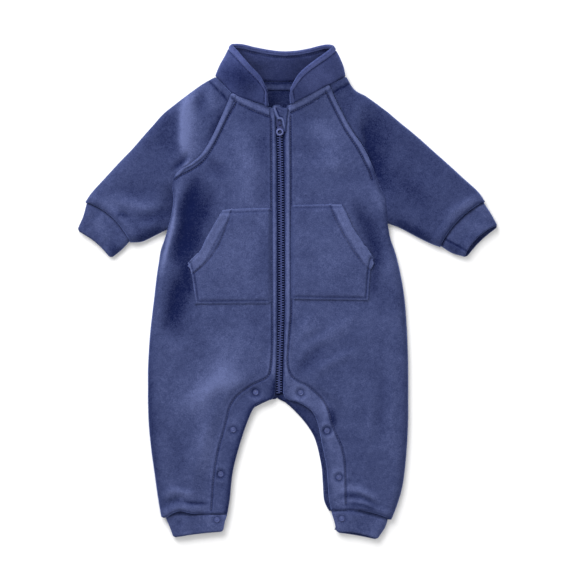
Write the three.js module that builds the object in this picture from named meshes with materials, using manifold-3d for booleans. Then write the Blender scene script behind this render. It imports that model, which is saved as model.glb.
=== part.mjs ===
// A baby's fleece romper, laid flat on its back: raglan sleeves, a stand collar, a centre zip with a chin
// guard, a split kangaroo pocket, ribbed cuffs and snap plackets down both inner legs.
// Millimetres. +Z is up from the surface that the back lies on, +Y points to the collar, and +X to the
// garment's own left sleeve, which is on the right as it is looked at from above.
// Every cloth piece is a wall: rows of points on its outer face, and the same points moved in by the
// thickness of the cloth. "Left" and "right" in the names are as seen from above.

import * as THREE from 'three';
import { mergeVertices } from 'three/addons/utils/BufferGeometryUtils.js';
import Module from 'manifold-3d';

const wasm = await Module();
wasm.setup();

// Driving sizes
const CLOTH = 2.4; // fleece wall
const RIB = 2.6; // cuff wall, two layers of ribbed fleece pressed together
const COLLAR_WALL = 3.0; // collar wall, two layers of fleece
const GAP = 0.3; // clearance between pieces that are sewn or lie on each other
const SEAM_Z = 4.5; // height of the side seams above the surface
const PLACKET_TOP = 9.1; // upper face of the front along the snap plackets
const ZIP_TOP = 12.6; // upper face of the front along the zip
const CUFF_TOP = 9.5; // upper face of the leg cuffs
const LOFT = { body: 13.2, sleeve: 13.4 }; // upper face of the front and of the sleeves, between folds
const FRONT_ROLL = 13; // width of the rounded side of the front
const FLAT_SEAM_ROLL = 5; // width of the front's rounded edge where its seam lies flat
const SLEEVE_ROLL = 12; // width of the rounded top fold of a sleeve
const SLEEVE_END_TOP = 11.4; // upper face of a sleeve's end, drawn in to the cuff
const CUFF_ROLL = 8; // width of a cuff's rounded folds
const CUFF_LAP = { roll: 26, bottom: 2.7 }; // a leg cuff's open side: its roll, and its back end's underside
const BACK_ROLL = 5; // width of the rounded rim of the back
const TAPE = { inner: 3.8, outer: 12, wall: 1.0 };
const CHAIN = { half: 3.5, bottom: -0.4, top: 2.2 }; // heights are from the underside of the tape
const PLACKET = { inset: 0.6, width: 18 }; // back placket: distance in from the leg's edge, and width
// The neck tape's top and bottom are distances below the collar's foot
const NECK_TAPE = { narrowing: 0.93, top: 5.2, bottom: 12.2, lift: 1, wall: 1 };
// The pocket's height over the front, and the height and width of its soft crown
const POCKET = { rise: 0.9, crown: 1.2, crownWidth: 30 };
const SNAP = { capRadius: 3.4, capHeight: 1.0, studRadius: 4, studHeight: 1.0, sides: 12 };

// The slider and its tab, in the zip's own frame: x from the zip's centre, y along the zip
const PIVOT = { x: -8.6, y: 203, z: 14 }; // axis of the tab's hinge, along X
const SLIDER = { half: 4.3, web: 3.2, foot: -4.5, head: 7.5, plate: 1.3, slotPlay: 0.35, bottom: 1.2 };
const BRIDGE = { half: 0.9, foot: -2.8, head: 2.4, leg: 1.0, roof: 1.1, top: 2.2, sink: 0.5, chamfer: 0.5 };
const TAB = { wall: 1.4, bar: 0.6, arm: 2.7, slot: 1.4, slotEnd: 3.9, ring: 11.2, ringOuter: 4.8,
  ringInner: 2.4, shoulder: 1.2, flare: 0.96, flareRise: 1.6 };

const FLEECE = { color: 0x424b75, roughness: 0.95, metalness: 0 };
const ZIP_TAPE = { color: 0x3a4370, roughness: 0.85, metalness: 0 };
const PLASTIC = { color: 0x333d6b, roughness: 0.45, metalness: 0 };

const table = (columns, rows) =>
  rows.map((row) => Object.fromEntries(columns.map((name, k) => [name, row[k]])));

// The front pieces, one row for each section from the hem up. The side is the outer edge and the zip is the
// inner edge, which is the snap placket on the rows below the zip. fold is 1 where the edge is a rounded
// side and 0 where it is a flat seam. flat is the width of the level band along the inner edge, and bow is
// how far the section bends towards the collar.
const FRONT_COLUMNS = ['sideX', 'sideY', 'sideZ', 'fold', 'zipX', 'zipY', 'zipZ', 'flat', 'bow'];
const SIDE = SEAM_Z + GAP / 2;
const OVER = 9.4; // height of the front's edge where it lies over the sleeve
const RAGLAN_Z = 12.2; // height of the raglan seam
const FRONT_LEFT = table(FRONT_COLUMNS, [
  [-151, -266.5, SIDE, 1, -71.5, -266, PLACKET_TOP, 24, 0],
  [-155, -247, SIDE, 1, -68.5, -247, PLACKET_TOP, 24, 0],
  [-159, -218.5, SIDE, 1, -65.5, -218.5, PLACKET_TOP, 24, 0],
  [-163, -189.5, SIDE, 1, -59, -191, PLACKET_TOP, 24, 0],
  [-166, -159.5, SIDE, 1, -48.5, -158.5, PLACKET_TOP, 24, 0],
  [-167, -132, SIDE, 1, -38.5, -137.5, PLACKET_TOP, 24, 0],
  [-167, -111.5, SIDE, 1, -26.5, -131, PLACKET_TOP, 26, 0],
  [-167, -93.5, SIDE, 1, -15.5, -125.5, PLACKET_TOP, 28, 0],
  [-166, -72, SIDE, 1, -15, -103, 12, 8, 0],
  [-164, -45.5, SIDE, 1, -13.5, -69.5, ZIP_TOP, 6, 0],
  [-159.5, -7, SIDE, 1, -12, -24, ZIP_TOP, 6, 0],
  [-155, 29, SIDE, 1, -12, 20.5, ZIP_TOP, 6, 0],
  [-148, 60, SIDE + 1, 1, -12, 56.5, ZIP_TOP, 6, 0],
  [-140.5, 85, OVER, 1, -12, 84, ZIP_TOP, 6, 0],
  [-136.5, 109, OVER, 1, -12.5, 107, ZIP_TOP, 6, 0],
  [-137.5, 133, OVER, 1, -12.5, 126, ZIP_TOP, 6, 0],
  [-127, 145, RAGLAN_Z, 0, -12.5, 139, ZIP_TOP, 6, 0],
  [-116, 151, RAGLAN_Z, 0, -12.5, 152.5, ZIP_TOP, 6, 0],
  [-102.5, 162, RAGLAN_Z, 0, -12.5, 166, ZIP_TOP, 6, 0],
  [-90.5, 180, RAGLAN_Z, 0, -13, 181, ZIP_TOP, 6, 0],
  [-77, 208, RAGLAN_Z, 0, -13.5, 199, ZIP_TOP, 6, 0],
  [-65, 236.5, RAGLAN_Z, 0, -14, 218.5, ZIP_TOP, 6, 0],
]);
const FRONT_RIGHT = table(FRONT_COLUMNS, [
  [125.5, -273, SIDE, 1, 53, -261.5, PLACKET_TOP, 24, 5],
  [132.5, -255, SIDE, 1, 50.5, -248.5, PLACKET_TOP, 24, 4],
  [138.5, -234, SIDE, 1, 49, -229, PLACKET_TOP, 24, 0],
  [142, -209, SIDE, 1, 47, -207, PLACKET_TOP, 24, 0],
  [144.5, -177.5, SIDE, 1, 41.5, -180, PLACKET_TOP, 24, 0],
  [145.5, -151, SIDE, 1, 37, -158.5, PLACKET_TOP, 24, 0],
  [145.5, -132, SIDE, 1, 30.5, -144, PLACKET_TOP, 24, 0],
  [145.5, -113, SIDE, 1, 14.5, -133, PLACKET_TOP, 26, 0],
  [145.5, -93.5, SIDE, 1, -2.5, -126.5, PLACKET_TOP, 28, 0],
  [145, -69.5, SIDE, 1, -4, -105.5, 12, 8, 0],
  [143, -36, SIDE, 1, -3.5, -72, ZIP_TOP, 6, 0],
  [140, 0, SIDE, 1, -2, -24, ZIP_TOP, 6, 0],
  [133, 35, SIDE, 1, -2, 20.5, ZIP_TOP, 6, 0],
  [124, 65, SIDE + 1, 1, -2, 56.5, ZIP_TOP, 6, 0],
  [120.5, 87.5, OVER, 1, -2, 84, ZIP_TOP, 6, 0],
  [120, 110.5, OVER, 1, -2, 105.5, ZIP_TOP, 6, 0],
  [113.5, 122.5, OVER, 1, -2, 120, ZIP_TOP, 6, 0],
  [107, 138, OVER, 1, -2, 137, ZIP_TOP, 6, 0],
  [100, 157, OVER + 0.8, 1, -2.5, 155, ZIP_TOP, 6, 0],
  [90, 176.5, RAGLAN_Z, 0, -2.5, 170.5, ZIP_TOP, 6, 0],
  [76.5, 196, RAGLAN_Z, 0, -2.5, 185, ZIP_TOP, 6, 0],
  [62.5, 222.5, RAGLAN_Z, 0, -1.5, 204, ZIP_TOP, 6, 0],
  [51, 247.5, RAGLAN_Z, 0, -0.5, 222.5, ZIP_TOP, 6, 0],
]);

// The back is one piece with two legs. Each row has both outer edges and both inner edges, which meet on the
// centre line above the crotch. rim is the height of the rounded rim at the outer edges.
const BACK_COLUMNS = ['leftX', 'leftY', 'innerLeftX', 'innerLeftY', 'innerRightX', 'innerRightY',
  'rightX', 'rightY', 'rim'];
const RIM = SEAM_Z - GAP / 2;
const BACK = table(BACK_COLUMNS, [
  [-151, -266.5, -74.5, -266, 50.5, -261.8, 125.5, -273, RIM],
  [-155, -247, -71.5, -247, 45.5, -249.5, 132.5, -255, RIM],
  [-159, -218.5, -68.5, -218.5, 44, -229, 138.5, -234, RIM],
  [-163, -189.5, -62.5, -191, 42, -207, 142, -209, RIM],
  [-166, -159.5, -53, -158.5, 35, -177.5, 144.5, -177.5, RIM],
  [-167, -132, -43, -141.5, 24.5, -159, 145.5, -151, RIM],
  [-167, -115, -32.5, -134.5, 11.5, -144, 145.5, -132, RIM],
  [-167, -101, -21.5, -129.5, -0.5, -133, 145.5, -115, RIM],
  [-166.5, -86.5, -11.5, -125, -11.5, -125, 145.5, -98.5, RIM],
  [-165.5, -63.5, -11, -99.5, -11, -99.5, 145, -75.5, RIM],
  [-163, -39.5, -10, -63.5, -10, -63.5, 144, -45.5, RIM],
  [-159.5, -7, -9.5, -24, -9.5, -24, 141, -7, RIM],
  [-155, 29, -9.5, 20.5, -9.5, 20.5, 134.5, 30, RIM],
  [-148, 60, -9.5, 56.5, -9.5, 56.5, 125.5, 60, RIM],
  [-127, 83.5, -9.5, 84, -9.5, 84, 111, 87, 0],
  [-126.5, 107, -9.5, 105, -9.5, 105, 110.5, 104.5, 0],
  [-126.5, 127, -9.5, 125, -9.5, 125, 106, 122.5, 0],
  [-121, 143, -9.5, 141, -9.5, 141, 101, 138, 0],
  [-111, 158, -9.5, 156, -9.5, 156, 96, 155, 0],
  [-99, 177, -9.5, 176, -9.5, 176, 88, 176.5, 0],
  [-85, 200, -9.5, 198, -9.5, 198, 72, 200, 0],
  [-69, 227, -9.5, 225, -9.5, 225, 54, 228, 0],
  [-53, 253, -9.5, 252, -9.5, 252, 40, 254, 0],
]);

// The sleeves, one row for each section from the cuff to the neck: the top fold, the front edge, its height
// and the width of its roll, and the back edge. The front and back edges meet at the underarm seam as far
// as the armpit, and run along the two raglan seams above it.
const SLEEVE_COLUMNS = ['foldX', 'foldY', 'frontX', 'frontY', 'frontZ', 'roll', 'backX', 'backY', 'rim'];
const SLEEVE_LEFT = table(SLEEVE_COLUMNS, [
  [-242, 108.5, -188, 59.5, SIDE, 10, -188, 59.5, RIM],
  [-234, 120, -174, 60.5, SIDE, 12, -174, 60.5, RIM],
  [-218.5, 137, -157, 68.5, SIDE, 14, -157, 68.5, RIM],
  [-201.5, 155.5, -143, 75.5, SIDE, 24, -143, 75.5, RIM],
  [-186, 171.5, -129.5, 83, SIDE, 44, -129.5, 83, 2],
  [-173, 186.5, -129, 107, SIDE, 44, -127, 107, 0],
  [-161, 200, -130, 126, SIDE, 44, -127, 127, 0],
  [-149, 213.5, -127.5, 145.3, RAGLAN_Z, 6, -121.5, 143.2, 0],
  [-135.5, 224.5, -116.2, 151.4, RAGLAN_Z, 6, -111.3, 158.2, 0],
  [-122.5, 234.5, -102.9, 162.3, RAGLAN_Z, 6, -99.3, 177.2, 0],
  [-109, 244.5, -91, 180.2, RAGLAN_Z, 6, -85.3, 200.2, 0],
  [-98.5, 251.5, -77.5, 208.2, RAGLAN_Z, 6, -69.3, 227.2, 0],
  [-86.5, 258, -65.5, 236.7, RAGLAN_Z, 6, -53.3, 253.2, 0],
]);
const SLEEVE_RIGHT = table(SLEEVE_COLUMNS, [
  [237.5, 109, 183.5, 54, SIDE, 10, 183.5, 54, RIM],
  [229, 121, 170.5, 59, SIDE, 12, 170.5, 59, RIM],
  [212.5, 136, 152.5, 68, SIDE, 14, 152.5, 68, RIM],
  [194.5, 152.5, 135.5, 77, SIDE, 24, 135.5, 77, RIM],
  [176.5, 168.5, 113.5, 87, SIDE, 40, 113.5, 87, 2],
  [161, 182.5, 112, 104.5, SIDE, 40, 111, 104.5, 0],
  [147.5, 194, 106.5, 122.5, SIDE, 36, 106.5, 122.5, 0],
  [134.5, 204.5, 101.5, 138, SIDE, 30, 101.5, 138, 0],
  [121, 216, 96.5, 155, SIDE, 26, 96.5, 155, 0],
  [109, 225, 90.5, 176.7, RAGLAN_Z, 6, 88.4, 176.7, 0],
  [95, 235, 77, 196.3, RAGLAN_Z, 6, 72.4, 200.2, 0],
  [81, 243, 63, 222.7, RAGLAN_Z, 6, 54.4, 228.2, 0],
  [71.5, 258, 51.5, 247.7, RAGLAN_Z, 6, 40.4, 254.2, 0],
]);

// The cuffs, from the seam out. height is the upper face.
const CUFF_COLUMNS = ['foldX', 'foldY', 'frontX', 'frontY', 'height'];
const SLEEVE_CUFF_LEFT = table(CUFF_COLUMNS, [
  [-240.7, 106.6, -189.6, 60.2, 10.4],
  [-246, 89.5, -199.5, 49.5, 10],
  [-252.5, 75.5, -210.3, 40.5, 9.6],
]);
const SLEEVE_CUFF_RIGHT = table(CUFF_COLUMNS, [
  [236.4, 107.2, 185, 54.8, 10.6],
  [245.5, 94, 199.5, 45.5, 11.4],
  [253.8, 80, 213.5, 40.8, 12.4],
]);
const LEG_CUFF_LEFT = table(CUFF_COLUMNS, [
  [-147, -267.1, -72.5, -266.5, CUFF_TOP],
  [-142, -281, -74.5, -277, CUFF_TOP],
  [-137.5, -294.5, -76, -287, CUFF_TOP],
]);
const LEG_CUFF_RIGHT = table(CUFF_COLUMNS, [
  [121, -273.3, 54, -263, CUFF_TOP],
  [117, -285.5, 56.5, -276, CUFF_TOP],
  [110, -297, 59, -288, CUFF_TOP],
]);
const LEG_CUFF_BOW = 4; // how far the front right cuff's seam bends towards the collar

// The collar, from its left end round the back of the neck to its right end: foot and top edge.
const COLLAR_COLUMNS = ['footX', 'footY', 'footZ', 'topX', 'topY', 'topZ'];
const COLLAR = table(COLLAR_COLUMNS, [
  [-23, 222.3, 12.8, -23.5, 240, 33],
  [-33, 225.8, 13, -30, 253, 42],
  [-47, 230.8, 13, -42, 266, 46],
  [-64, 236.9, 12.6, -52.5, 278, 46],
  [-76, 248.6, 10.5, -61, 288, 43],
  [-84.5, 257.8, 6.5, -66, 293.5, 39],
  [-84.5, 260.8, 3, -65.5, 296, 35.5],
  [-72, 258.8, 1, -54, 296, 32.5],
  [-54, 255.8, 0.5, -37, 292.5, 30],
  [-32, 255, 0.4, -21, 289.5, 28.5],
  [-8.5, 254.6, 0.4, -6, 288, 28],
  [15.5, 255.3, 0.4, 10, 288.5, 28.5],
  [38, 256.8, 0.4, 26, 291, 30],
  [56, 259, 1, 40, 294.5, 32.5],
  [68, 261, 3, 50, 296, 35.5],
  [70, 258.6, 6.5, 56.5, 294, 39],
  [62, 254, 10.5, 53, 289, 43],
  [50, 247.6, 12.6, 40, 279, 46],
  [34, 239.8, 12.8, 26, 268.5, 46.5],
  [18, 232, 13, 12.5, 256, 44],
  [5, 225.7, 12.8, 2.5, 241, 34],
]);

// The two halves of the pocket, from the lower edge up: outer edge and zip edge.
const POCKET_COLUMNS = ['outerX', 'outerY', 'zipX', 'zipY'];
const POCKET_LEFT = table(POCKET_COLUMNS, [
  [-109, -14, -18.5, -13.5],
  [-110, -6, -18.5, -4],
  [-112, 9.5, -18.5, 11],
  [-115, 24, -18.5, 25],
  [-118, 33, -18.5, 35],
  [-114.5, 38.5, -18.5, 43],
  [-102.5, 51, -18.5, 55],
  [-94.5, 68.5, -18.5, 72],
  [-85, 84.5, -18.5, 87],
  [-77, 97, -18.5, 99.5],
]);
const POCKET_RIGHT = table(POCKET_COLUMNS, [
  [97.5, -10, 5, -7.5],
  [97.5, 0, 5, 1],
  [98, 13, 5, 14],
  [100, 25, 5, 26],
  [102.5, 36, 5, 36],
  [101, 43, 5, 43],
  [92, 57, 5, 57.5],
  [79, 75, 5, 75.5],
  [71, 92.5, 5, 91],
  [64.5, 105, 5, 104],
]);

// Folds of the body and of the sleeves: a soft ridge (height over 0) or trough from one end to the other.
const FOLD_COLUMNS = ['x1', 'y1', 'x2', 'y2', 'width', 'height'];
const BODY_FOLDS = table(FOLD_COLUMNS, [
  [-118, 134, -120, 45, 13, -3],
  [-113, 23, -144, -46, 14, -2.6],
  [-88, 140, -84, 148, 11, -1.5],
  [-44, -97, -89, -114, 15, 2.6],
  [-89, -114, -108, -140, 14, 2],
  [-98, -157, -98, -229, 9, 1.4],
  [-134, -250, -130, -253, 8, -2],
  [54, 164, 60, 160, 22, 1.6],
  [80, 104, 108, 50, 10, -2.8],
  [16, -37, 20, -44, 16, 1.2],
  [12, -98, 44, -62, 9, -1.4],
  [60, -238, 84, -240, 6, 1.6],
  [84, -240, 115, -256, 6, 1.6],
  [124, -58, 126, -214, 7, 0.8],
]);
const SLEEVE_FOLDS = table(FOLD_COLUMNS, [
  [-123, 232, -127, 170, 8, 2.2],
  [-90, 240, -92, 222, 8, 1.2],
  [-76, 222, -84, 200, 7, -1.6],
  [-230, 112, -212, 103, 8, 1.2],
  [-173, 107, -142, 98, 9, 1.6],
  [-199, 94, -196, 92, 6, -1.4],
  [92, 206, 122, 106, 10, -4.4],
  [-135, 78, -134, 138, 14, -6],
  [196, 96, 202, 94, 9, 1.2],
  [216, 112, 222, 108, 9, 1],
]);

// Snaps, on the front's level band and on the leg cuffs. seat is the upper face that the cap sits on.
const SNAPS = table(['name', 'x', 'y', 'seat'], [
  ['left_1', -37.5, -120.5, 10.4],
  ['left_2', -64.5, -165.5, PLACKET_TOP],
  ['left_3', -79.5, -218.5, PLACKET_TOP],
  ['left_4', -84, -273.5, CUFF_TOP],
  ['right_1', 16.5, -121, 10],
  ['right_2', 48, -166.5, PLACKET_TOP],
  ['right_3', 62.5, -222.5, PLACKET_TOP],
  ['right_4', 66, -272, CUFF_TOP],
]);

// ---------------------------------------------------------------------------------------------------------
// Surfaces

const point = (x, y, z, extra = {}) => ({ at: new THREE.Vector3(x, y, z), ...extra });
const smooth = (t) => {
  const s = Math.min(1, Math.max(0, t));
  return s * s * (3 - 2 * s);
};

function foldsAt(folds, x, y) {
  let sum = 0;
  for (const f of folds) {
    const [dx, dy] = [f.x2 - f.x1, f.y2 - f.y1];
    const along = Math.min(1, Math.max(0, ((x - f.x1) * dx + (y - f.y1) * dy) / (dx * dx + dy * dy)));
    const away = Math.hypot(x - f.x1 - along * dx, y - f.y1 - along * dy) / f.width;
    sum += f.height * Math.exp(-away * away);
  }
  return sum;
}

// One crossing of a panel from edge a to edge b: the distance from a, and how far the rounded edges have
// risen there, from 0 at the edge to 1 where the roll ends.
function crossing(width, rollA, rollB, stepsA, middle, stepsB) {
  const columns = [];
  for (let k = 0; k < stepsA; k += 1) {
    const angle = ((k / stepsA) * Math.PI) / 2;
    columns.push({ d: rollA * (1 - Math.cos(angle)), riseA: Math.sin(angle), riseB: 1 });
  }
  for (let k = 0; k <= middle; k += 1) {
    columns.push({ d: rollA + ((width - rollA - rollB) * k) / middle, riseA: 1, riseB: 1 });
  }
  for (let k = stepsB - 1; k >= 0; k -= 1) {
    const angle = ((k / stepsB) * Math.PI) / 2;
    columns.push({ d: width - rollB * (1 - Math.cos(angle)), riseA: 1, riseB: Math.sin(angle) });
  }
  return columns;
}

// The level outward direction at an edge: square to the edge's own run, and away from the panel
function outward(before, after, inward) {
  const run = new THREE.Vector2().subVectors(after, before);
  const square = new THREE.Vector3(run.y, -run.x, 0).normalize();
  return square.dot(inward) > 0 ? square.negate() : square;
}

// A closed wall from grids of points on a cloth's outer face. Points that coincide are one point. A point may
// state its own outward direction, or a level direction that its outward direction is square to.
function clothSolid(grids, thickness, facing) {
  const outer = [];
  const known = new Map();
  const faces = [];
  const idOf = (p) => {
    const key = p.at.toArray().map((v) => Math.round(v * 1000)).join();
    if (!known.has(key)) {
      known.set(key, outer.length);
      outer.push({ ...p, normal: new THREE.Vector3() });
    }
    return known.get(key);
  };
  for (const grid of grids) {
    const ids = grid.map((row) => row.map(idOf));
    for (let r = 0; r + 1 < ids.length; r += 1) {
      for (let c = 0; c + 1 < ids[r].length; c += 1) {
        const [a, b, d, e] = [ids[r][c], ids[r][c + 1], ids[r + 1][c + 1], ids[r + 1][c]];
        for (const face of [[a, b, d], [a, d, e]]) {
          if (new Set(face).size === 3) faces.push(facing > 0 ? face : [face[0], face[2], face[1]]);
        }
      }
    }
  }
  const [u, v] = [new THREE.Vector3(), new THREE.Vector3()];
  for (const [a, b, c] of faces) {
    const normal = u.subVectors(outer[b].at, outer[a].at).cross(v.subVectors(outer[c].at, outer[a].at));
    for (const k of [a, b, c]) outer[k].normal.add(normal);
  }
  const positions = outer.flatMap((p) => p.at.toArray());
  for (const p of outer) {
    if (p.square) p.normal.addScaledVector(p.square, -p.normal.dot(p.square));
    const direction = p.out ?? p.normal;
    positions.push(...p.at.clone().addScaledVector(direction.clone().normalize(), -thickness).toArray());
  }
  const count = outer.length;
  const edges = new Set(faces.flatMap(([a, b, c]) => [`${a},${b}`, `${b},${c}`, `${c},${a}`]));
  const triangles = [];
  for (const [a, b, c] of faces) {
    triangles.push(a, b, c, c + count, b + count, a + count);
  }
  for (const edge of edges) {
    const [a, b] = edge.split(',').map(Number);
    if (!edges.has(`${b},${a}`)) triangles.push(b, a, a + count, b, a + count, b + count);
  }
  const geometry = new THREE.BufferGeometry();
  geometry.setAttribute('position', new THREE.Float32BufferAttribute(positions, 3));
  geometry.setIndex(triangles);
  return geometry;
}

// Marks the first and last row of a grid as cut square to the cloth's surface there
function squareEnds(grid) {
  for (const row of [grid[0], grid[grid.length - 1]]) {
    const run = new THREE.Vector3().subVectors(row[row.length - 1].at, row[0].at);
    if (Math.hypot(run.x, run.y) < 1) run.subVectors(row[Math.floor(row.length / 2)].at, row[0].at);
    const square = new THREE.Vector3(-run.y, run.x, 0).normalize();
    for (const p of row) p.square = square;
  }
  return grid;
}

const UP = new THREE.Vector3(0, 0, 1);
const DOWN = new THREE.Vector3(0, 0, -1);

// ---------------------------------------------------------------------------------------------------------
// Panels

const bodyLoft = (x, y) => LOFT.body + foldsAt(BODY_FOLDS, x, y);
const sleeveLoft = (x, y) => LOFT.sleeve + foldsAt(SLEEVE_FOLDS, x, y);
const BAND_RISE = 24; // width over which the front rises from its level band

function frontPanel(rows) {
  const grid = rows.map((row, r) => {
    const side = new THREE.Vector2(row.sideX, row.sideY);
    const inner = new THREE.Vector2(row.zipX, row.zipY);
    const width = side.distanceTo(inner);
    const way = inner.clone().sub(side).normalize();
    const roll = row.fold ? FRONT_ROLL : FLAT_SEAM_ROLL;
    const [before, after] = [rows[Math.max(0, r - 1)], rows[Math.min(rows.length - 1, r + 1)]];
    const out = outward(
      new THREE.Vector2(before.sideX, before.sideY),
      new THREE.Vector2(after.sideX, after.sideY),
      new THREE.Vector3(way.x, way.y, 0),
    );
    return crossing(width, roll, 0, 3, 7, 0).map(({ d, riseA }, c, all) => {
      const share = d / width;
      const x = side.x + way.x * d;
      const y = side.y + way.y * d + row.bow * 4 * share * (1 - share);
      const level = row.zipZ + (bodyLoft(x, y) - row.zipZ) * smooth((width - d - row.flat) / BAND_RISE);
      const z = row.sideZ + (level - row.sideZ) * riseA;
      if (c === 0) return point(x, y, z, { out: row.fold ? out : UP });
      return point(x, y, z, c === all.length - 1 ? { out: UP } : {});
    });
  });
  return clothSolid([squareEnds(grid)], CLOTH, rows[0].sideX < rows[0].zipX ? 1 : -1);
}

// Half of the back, from an outer edge to the inner edge, on the surface that it lies on
function backHalf(rows, side, inner) {
  return rows.map((row, r) => {
    const edge = new THREE.Vector2(row[`${side}X`], row[`${side}Y`]);
    const middle = new THREE.Vector2(row[`${inner}X`], row[`${inner}Y`]);
    const width = edge.distanceTo(middle);
    const way = middle.clone().sub(edge).normalize();
    const [before, after] = [rows[Math.max(0, r - 1)], rows[Math.min(rows.length - 1, r + 1)]];
    const out = outward(
      new THREE.Vector2(before[`${side}X`], before[`${side}Y`]),
      new THREE.Vector2(after[`${side}X`], after[`${side}Y`]),
      new THREE.Vector3(way.x, way.y, 0),
    );
    return crossing(width, BACK_ROLL, 0, 3, 4, 0).map(({ d, riseA }, c) => {
      const z = row.rim * (1 - riseA);
      const direction = c === 0 && row.rim > 0 ? out : DOWN;
      return point(edge.x + way.x * d, edge.y + way.y * d, z, c === 0 || z === 0 ? { out: direction } : {});
    });
  });
}

function backPanel() {
  const left = backHalf(BACK, 'left', 'innerLeft');
  const right = backHalf(BACK, 'right', 'innerRight').map((row) => row.reverse());
  return clothSolid([left, right], CLOTH, -1);
}

// One turn of a sleeve or cuff: over the upper layer from the front edge to the top fold, then back under
// the lower layer to the back edge. rise is the height of the upper layer.
function turn(row, before, after, rise) {
  const fold = new THREE.Vector2(row.foldX, row.foldY);
  const front = new THREE.Vector2(row.frontX, row.frontY);
  const back = new THREE.Vector2(row.backX, row.backY);
  const width = fold.distanceTo(front);
  const way = front.clone().sub(fold).normalize();
  const level = new THREE.Vector3(way.x, way.y, 0);
  const foldOut = outward(
    new THREE.Vector2(before.foldX, before.foldY),
    new THREE.Vector2(after.foldX, after.foldY),
    level,
  );
  const frontOut = outward(
    new THREE.Vector2(before.frontX, before.frontY),
    new THREE.Vector2(after.frontX, after.frontY),
    level.clone().negate(),
  );
  const foldRoll = row.foldRoll ?? SLEEVE_ROLL;
  const upper = crossing(width, foldRoll, row.roll, 3, 4, 3).map(({ d, riseA, riseB }, c, all) => {
    const x = fold.x + way.x * d;
    const y = fold.y + way.y * d + (row.bow ?? 0) * 4 * (d / width) * (1 - d / width);
    const top = rise(x, y);
    const low = riseA < 1 ? SEAM_Z : row.frontZ;
    const z = low + (top - low) * Math.min(riseA, riseB);
    if (c === 0) return point(x, y, z, { out: foldOut });
    if (c < all.length - 1) return point(x, y, z);
    return point(x, y, z, { out: row.frontZ > SIDE ? UP : frontOut });
  });
  const backWay = back.clone().sub(fold).normalize();
  const backWidth = fold.distanceTo(back);
  const lower = crossing(backWidth, BACK_ROLL, BACK_ROLL, 3, 3, 2).map(({ d, riseA, riseB }, c, all) => {
    const x = fold.x + backWay.x * d;
    const y = fold.y + backWay.y * d;
    const rim = riseA < 1 ? SEAM_Z : row.rim;
    const z = rim * (1 - Math.min(riseA, riseB));
    if (c < all.length - 1) return point(x, y, z);
    return point(x, y, z, { out: row.rim > CUFF_LAP.bottom ? frontOut : DOWN });
  });
  return [...upper.reverse(), ...lower.slice(1)];
}

function sleeve(rows) {
  const grid = rows.map((row, r) =>
    turn(row, rows[Math.max(0, r - 1)], rows[Math.min(rows.length - 1, r + 1)], sleeveLoft));
  // The end at the cuff is drawn in to the height of the seam
  for (const p of grid[0]) p.at.z = Math.min(p.at.z, SLEEVE_END_TOP);
  for (const end of [0, rows.length - 1]) {
    const run = new THREE.Vector3(rows[end].frontX - rows[end].foldX, rows[end].frontY - rows[end].foldY, 0);
    const square = new THREE.Vector3(-run.y, run.x, 0).normalize();
    for (const p of grid[end]) p.square = square;
  }
  return clothSolid([grid], CLOTH, rows[0].foldX < 0 ? -1 : 1);
}

// A sleeve cuff is a flattened ring: its last point of each turn is its first
function sleeveCuff(rows) {
  const grid = rows.map((row, r) => {
    const [before, after] = [rows[Math.max(0, r - 1)], rows[Math.min(rows.length - 1, r + 1)]];
    const seat = { ...row, backX: row.frontX, backY: row.frontY, frontZ: SEAM_Z, rim: SEAM_Z, roll: CUFF_ROLL };
    return turn({ ...seat, foldRoll: CUFF_ROLL }, before, after, () => row.height);
  });
  return clothSolid([grid], RIB, rows[0].foldX < 0 ? 1 : -1);
}

// A leg cuff is open on the inner side, where its front end lies over its back end with a snap between
function legCuff(rows, bow) {
  const grid = rows.map((row, r) => {
    const [before, after] = [rows[Math.max(0, r - 1)], rows[Math.min(rows.length - 1, r + 1)]];
    const seat = { ...row, backX: row.frontX, backY: row.frontY };
    const edges = { frontZ: PLACKET_TOP, rim: CUFF_LAP.bottom, roll: CUFF_LAP.roll, foldRoll: CUFF_ROLL };
    const lap = { ...seat, ...edges, bow: r === 0 ? bow : bow / 2 };
    const ring = turn(lap, before, after, () => row.height);
    ring[0].out = UP;
    ring[ring.length - 1].out = DOWN;
    return ring;
  });
  return clothSolid([grid], CLOTH, rows[0].foldX < 0 ? 1 : -1);
}

function collar() {
  const steps = 4;
  const grid = COLLAR.map((row) => {
    const foot = new THREE.Vector3(row.footX, row.footY, row.footZ);
    const top = new THREE.Vector3(row.topX, row.topY, row.topZ);
    return Array.from({ length: steps + 1 }, (_, k) => ({ at: foot.clone().lerp(top, k / steps) }));
  });
  return clothSolid([grid], COLLAR_WALL, 1);
}

// A pocket half lies on the front and keeps the front's height without its folds
function pocket(rows) {
  const grid = rows.map((row) =>
    Array.from({ length: 7 }, (_, c) => {
      const share = c / 6;
      const x = row.outerX + (row.zipX - row.outerX) * share;
      const y = row.outerY + (row.zipY - row.outerY) * share;
      const lift = smooth(Math.abs(row.zipX - x) / POCKET.crownWidth) * POCKET.crown;
      return point(x, y, ZIP_TOP + POCKET.rise + lift + CLOTH, { out: UP });
    }));
  return clothSolid([grid], CLOTH, rows[0].outerX < rows[0].zipX ? 1 : -1);
}

// ---------------------------------------------------------------------------------------------------------
// Strips: the neck tape, the zip tapes, the zip chain and the back plackets

// A strip through stations {left, right, z}, with a flat upper face at z
function strip(stations, thickness) {
  const grid = stations.map(({ left, right, z }) => [
    point(left[0], left[1], z, { out: UP }),
    point(right[0], right[1], z, { out: UP }),
  ]);
  return clothSolid([grid], thickness, 1);
}

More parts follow.
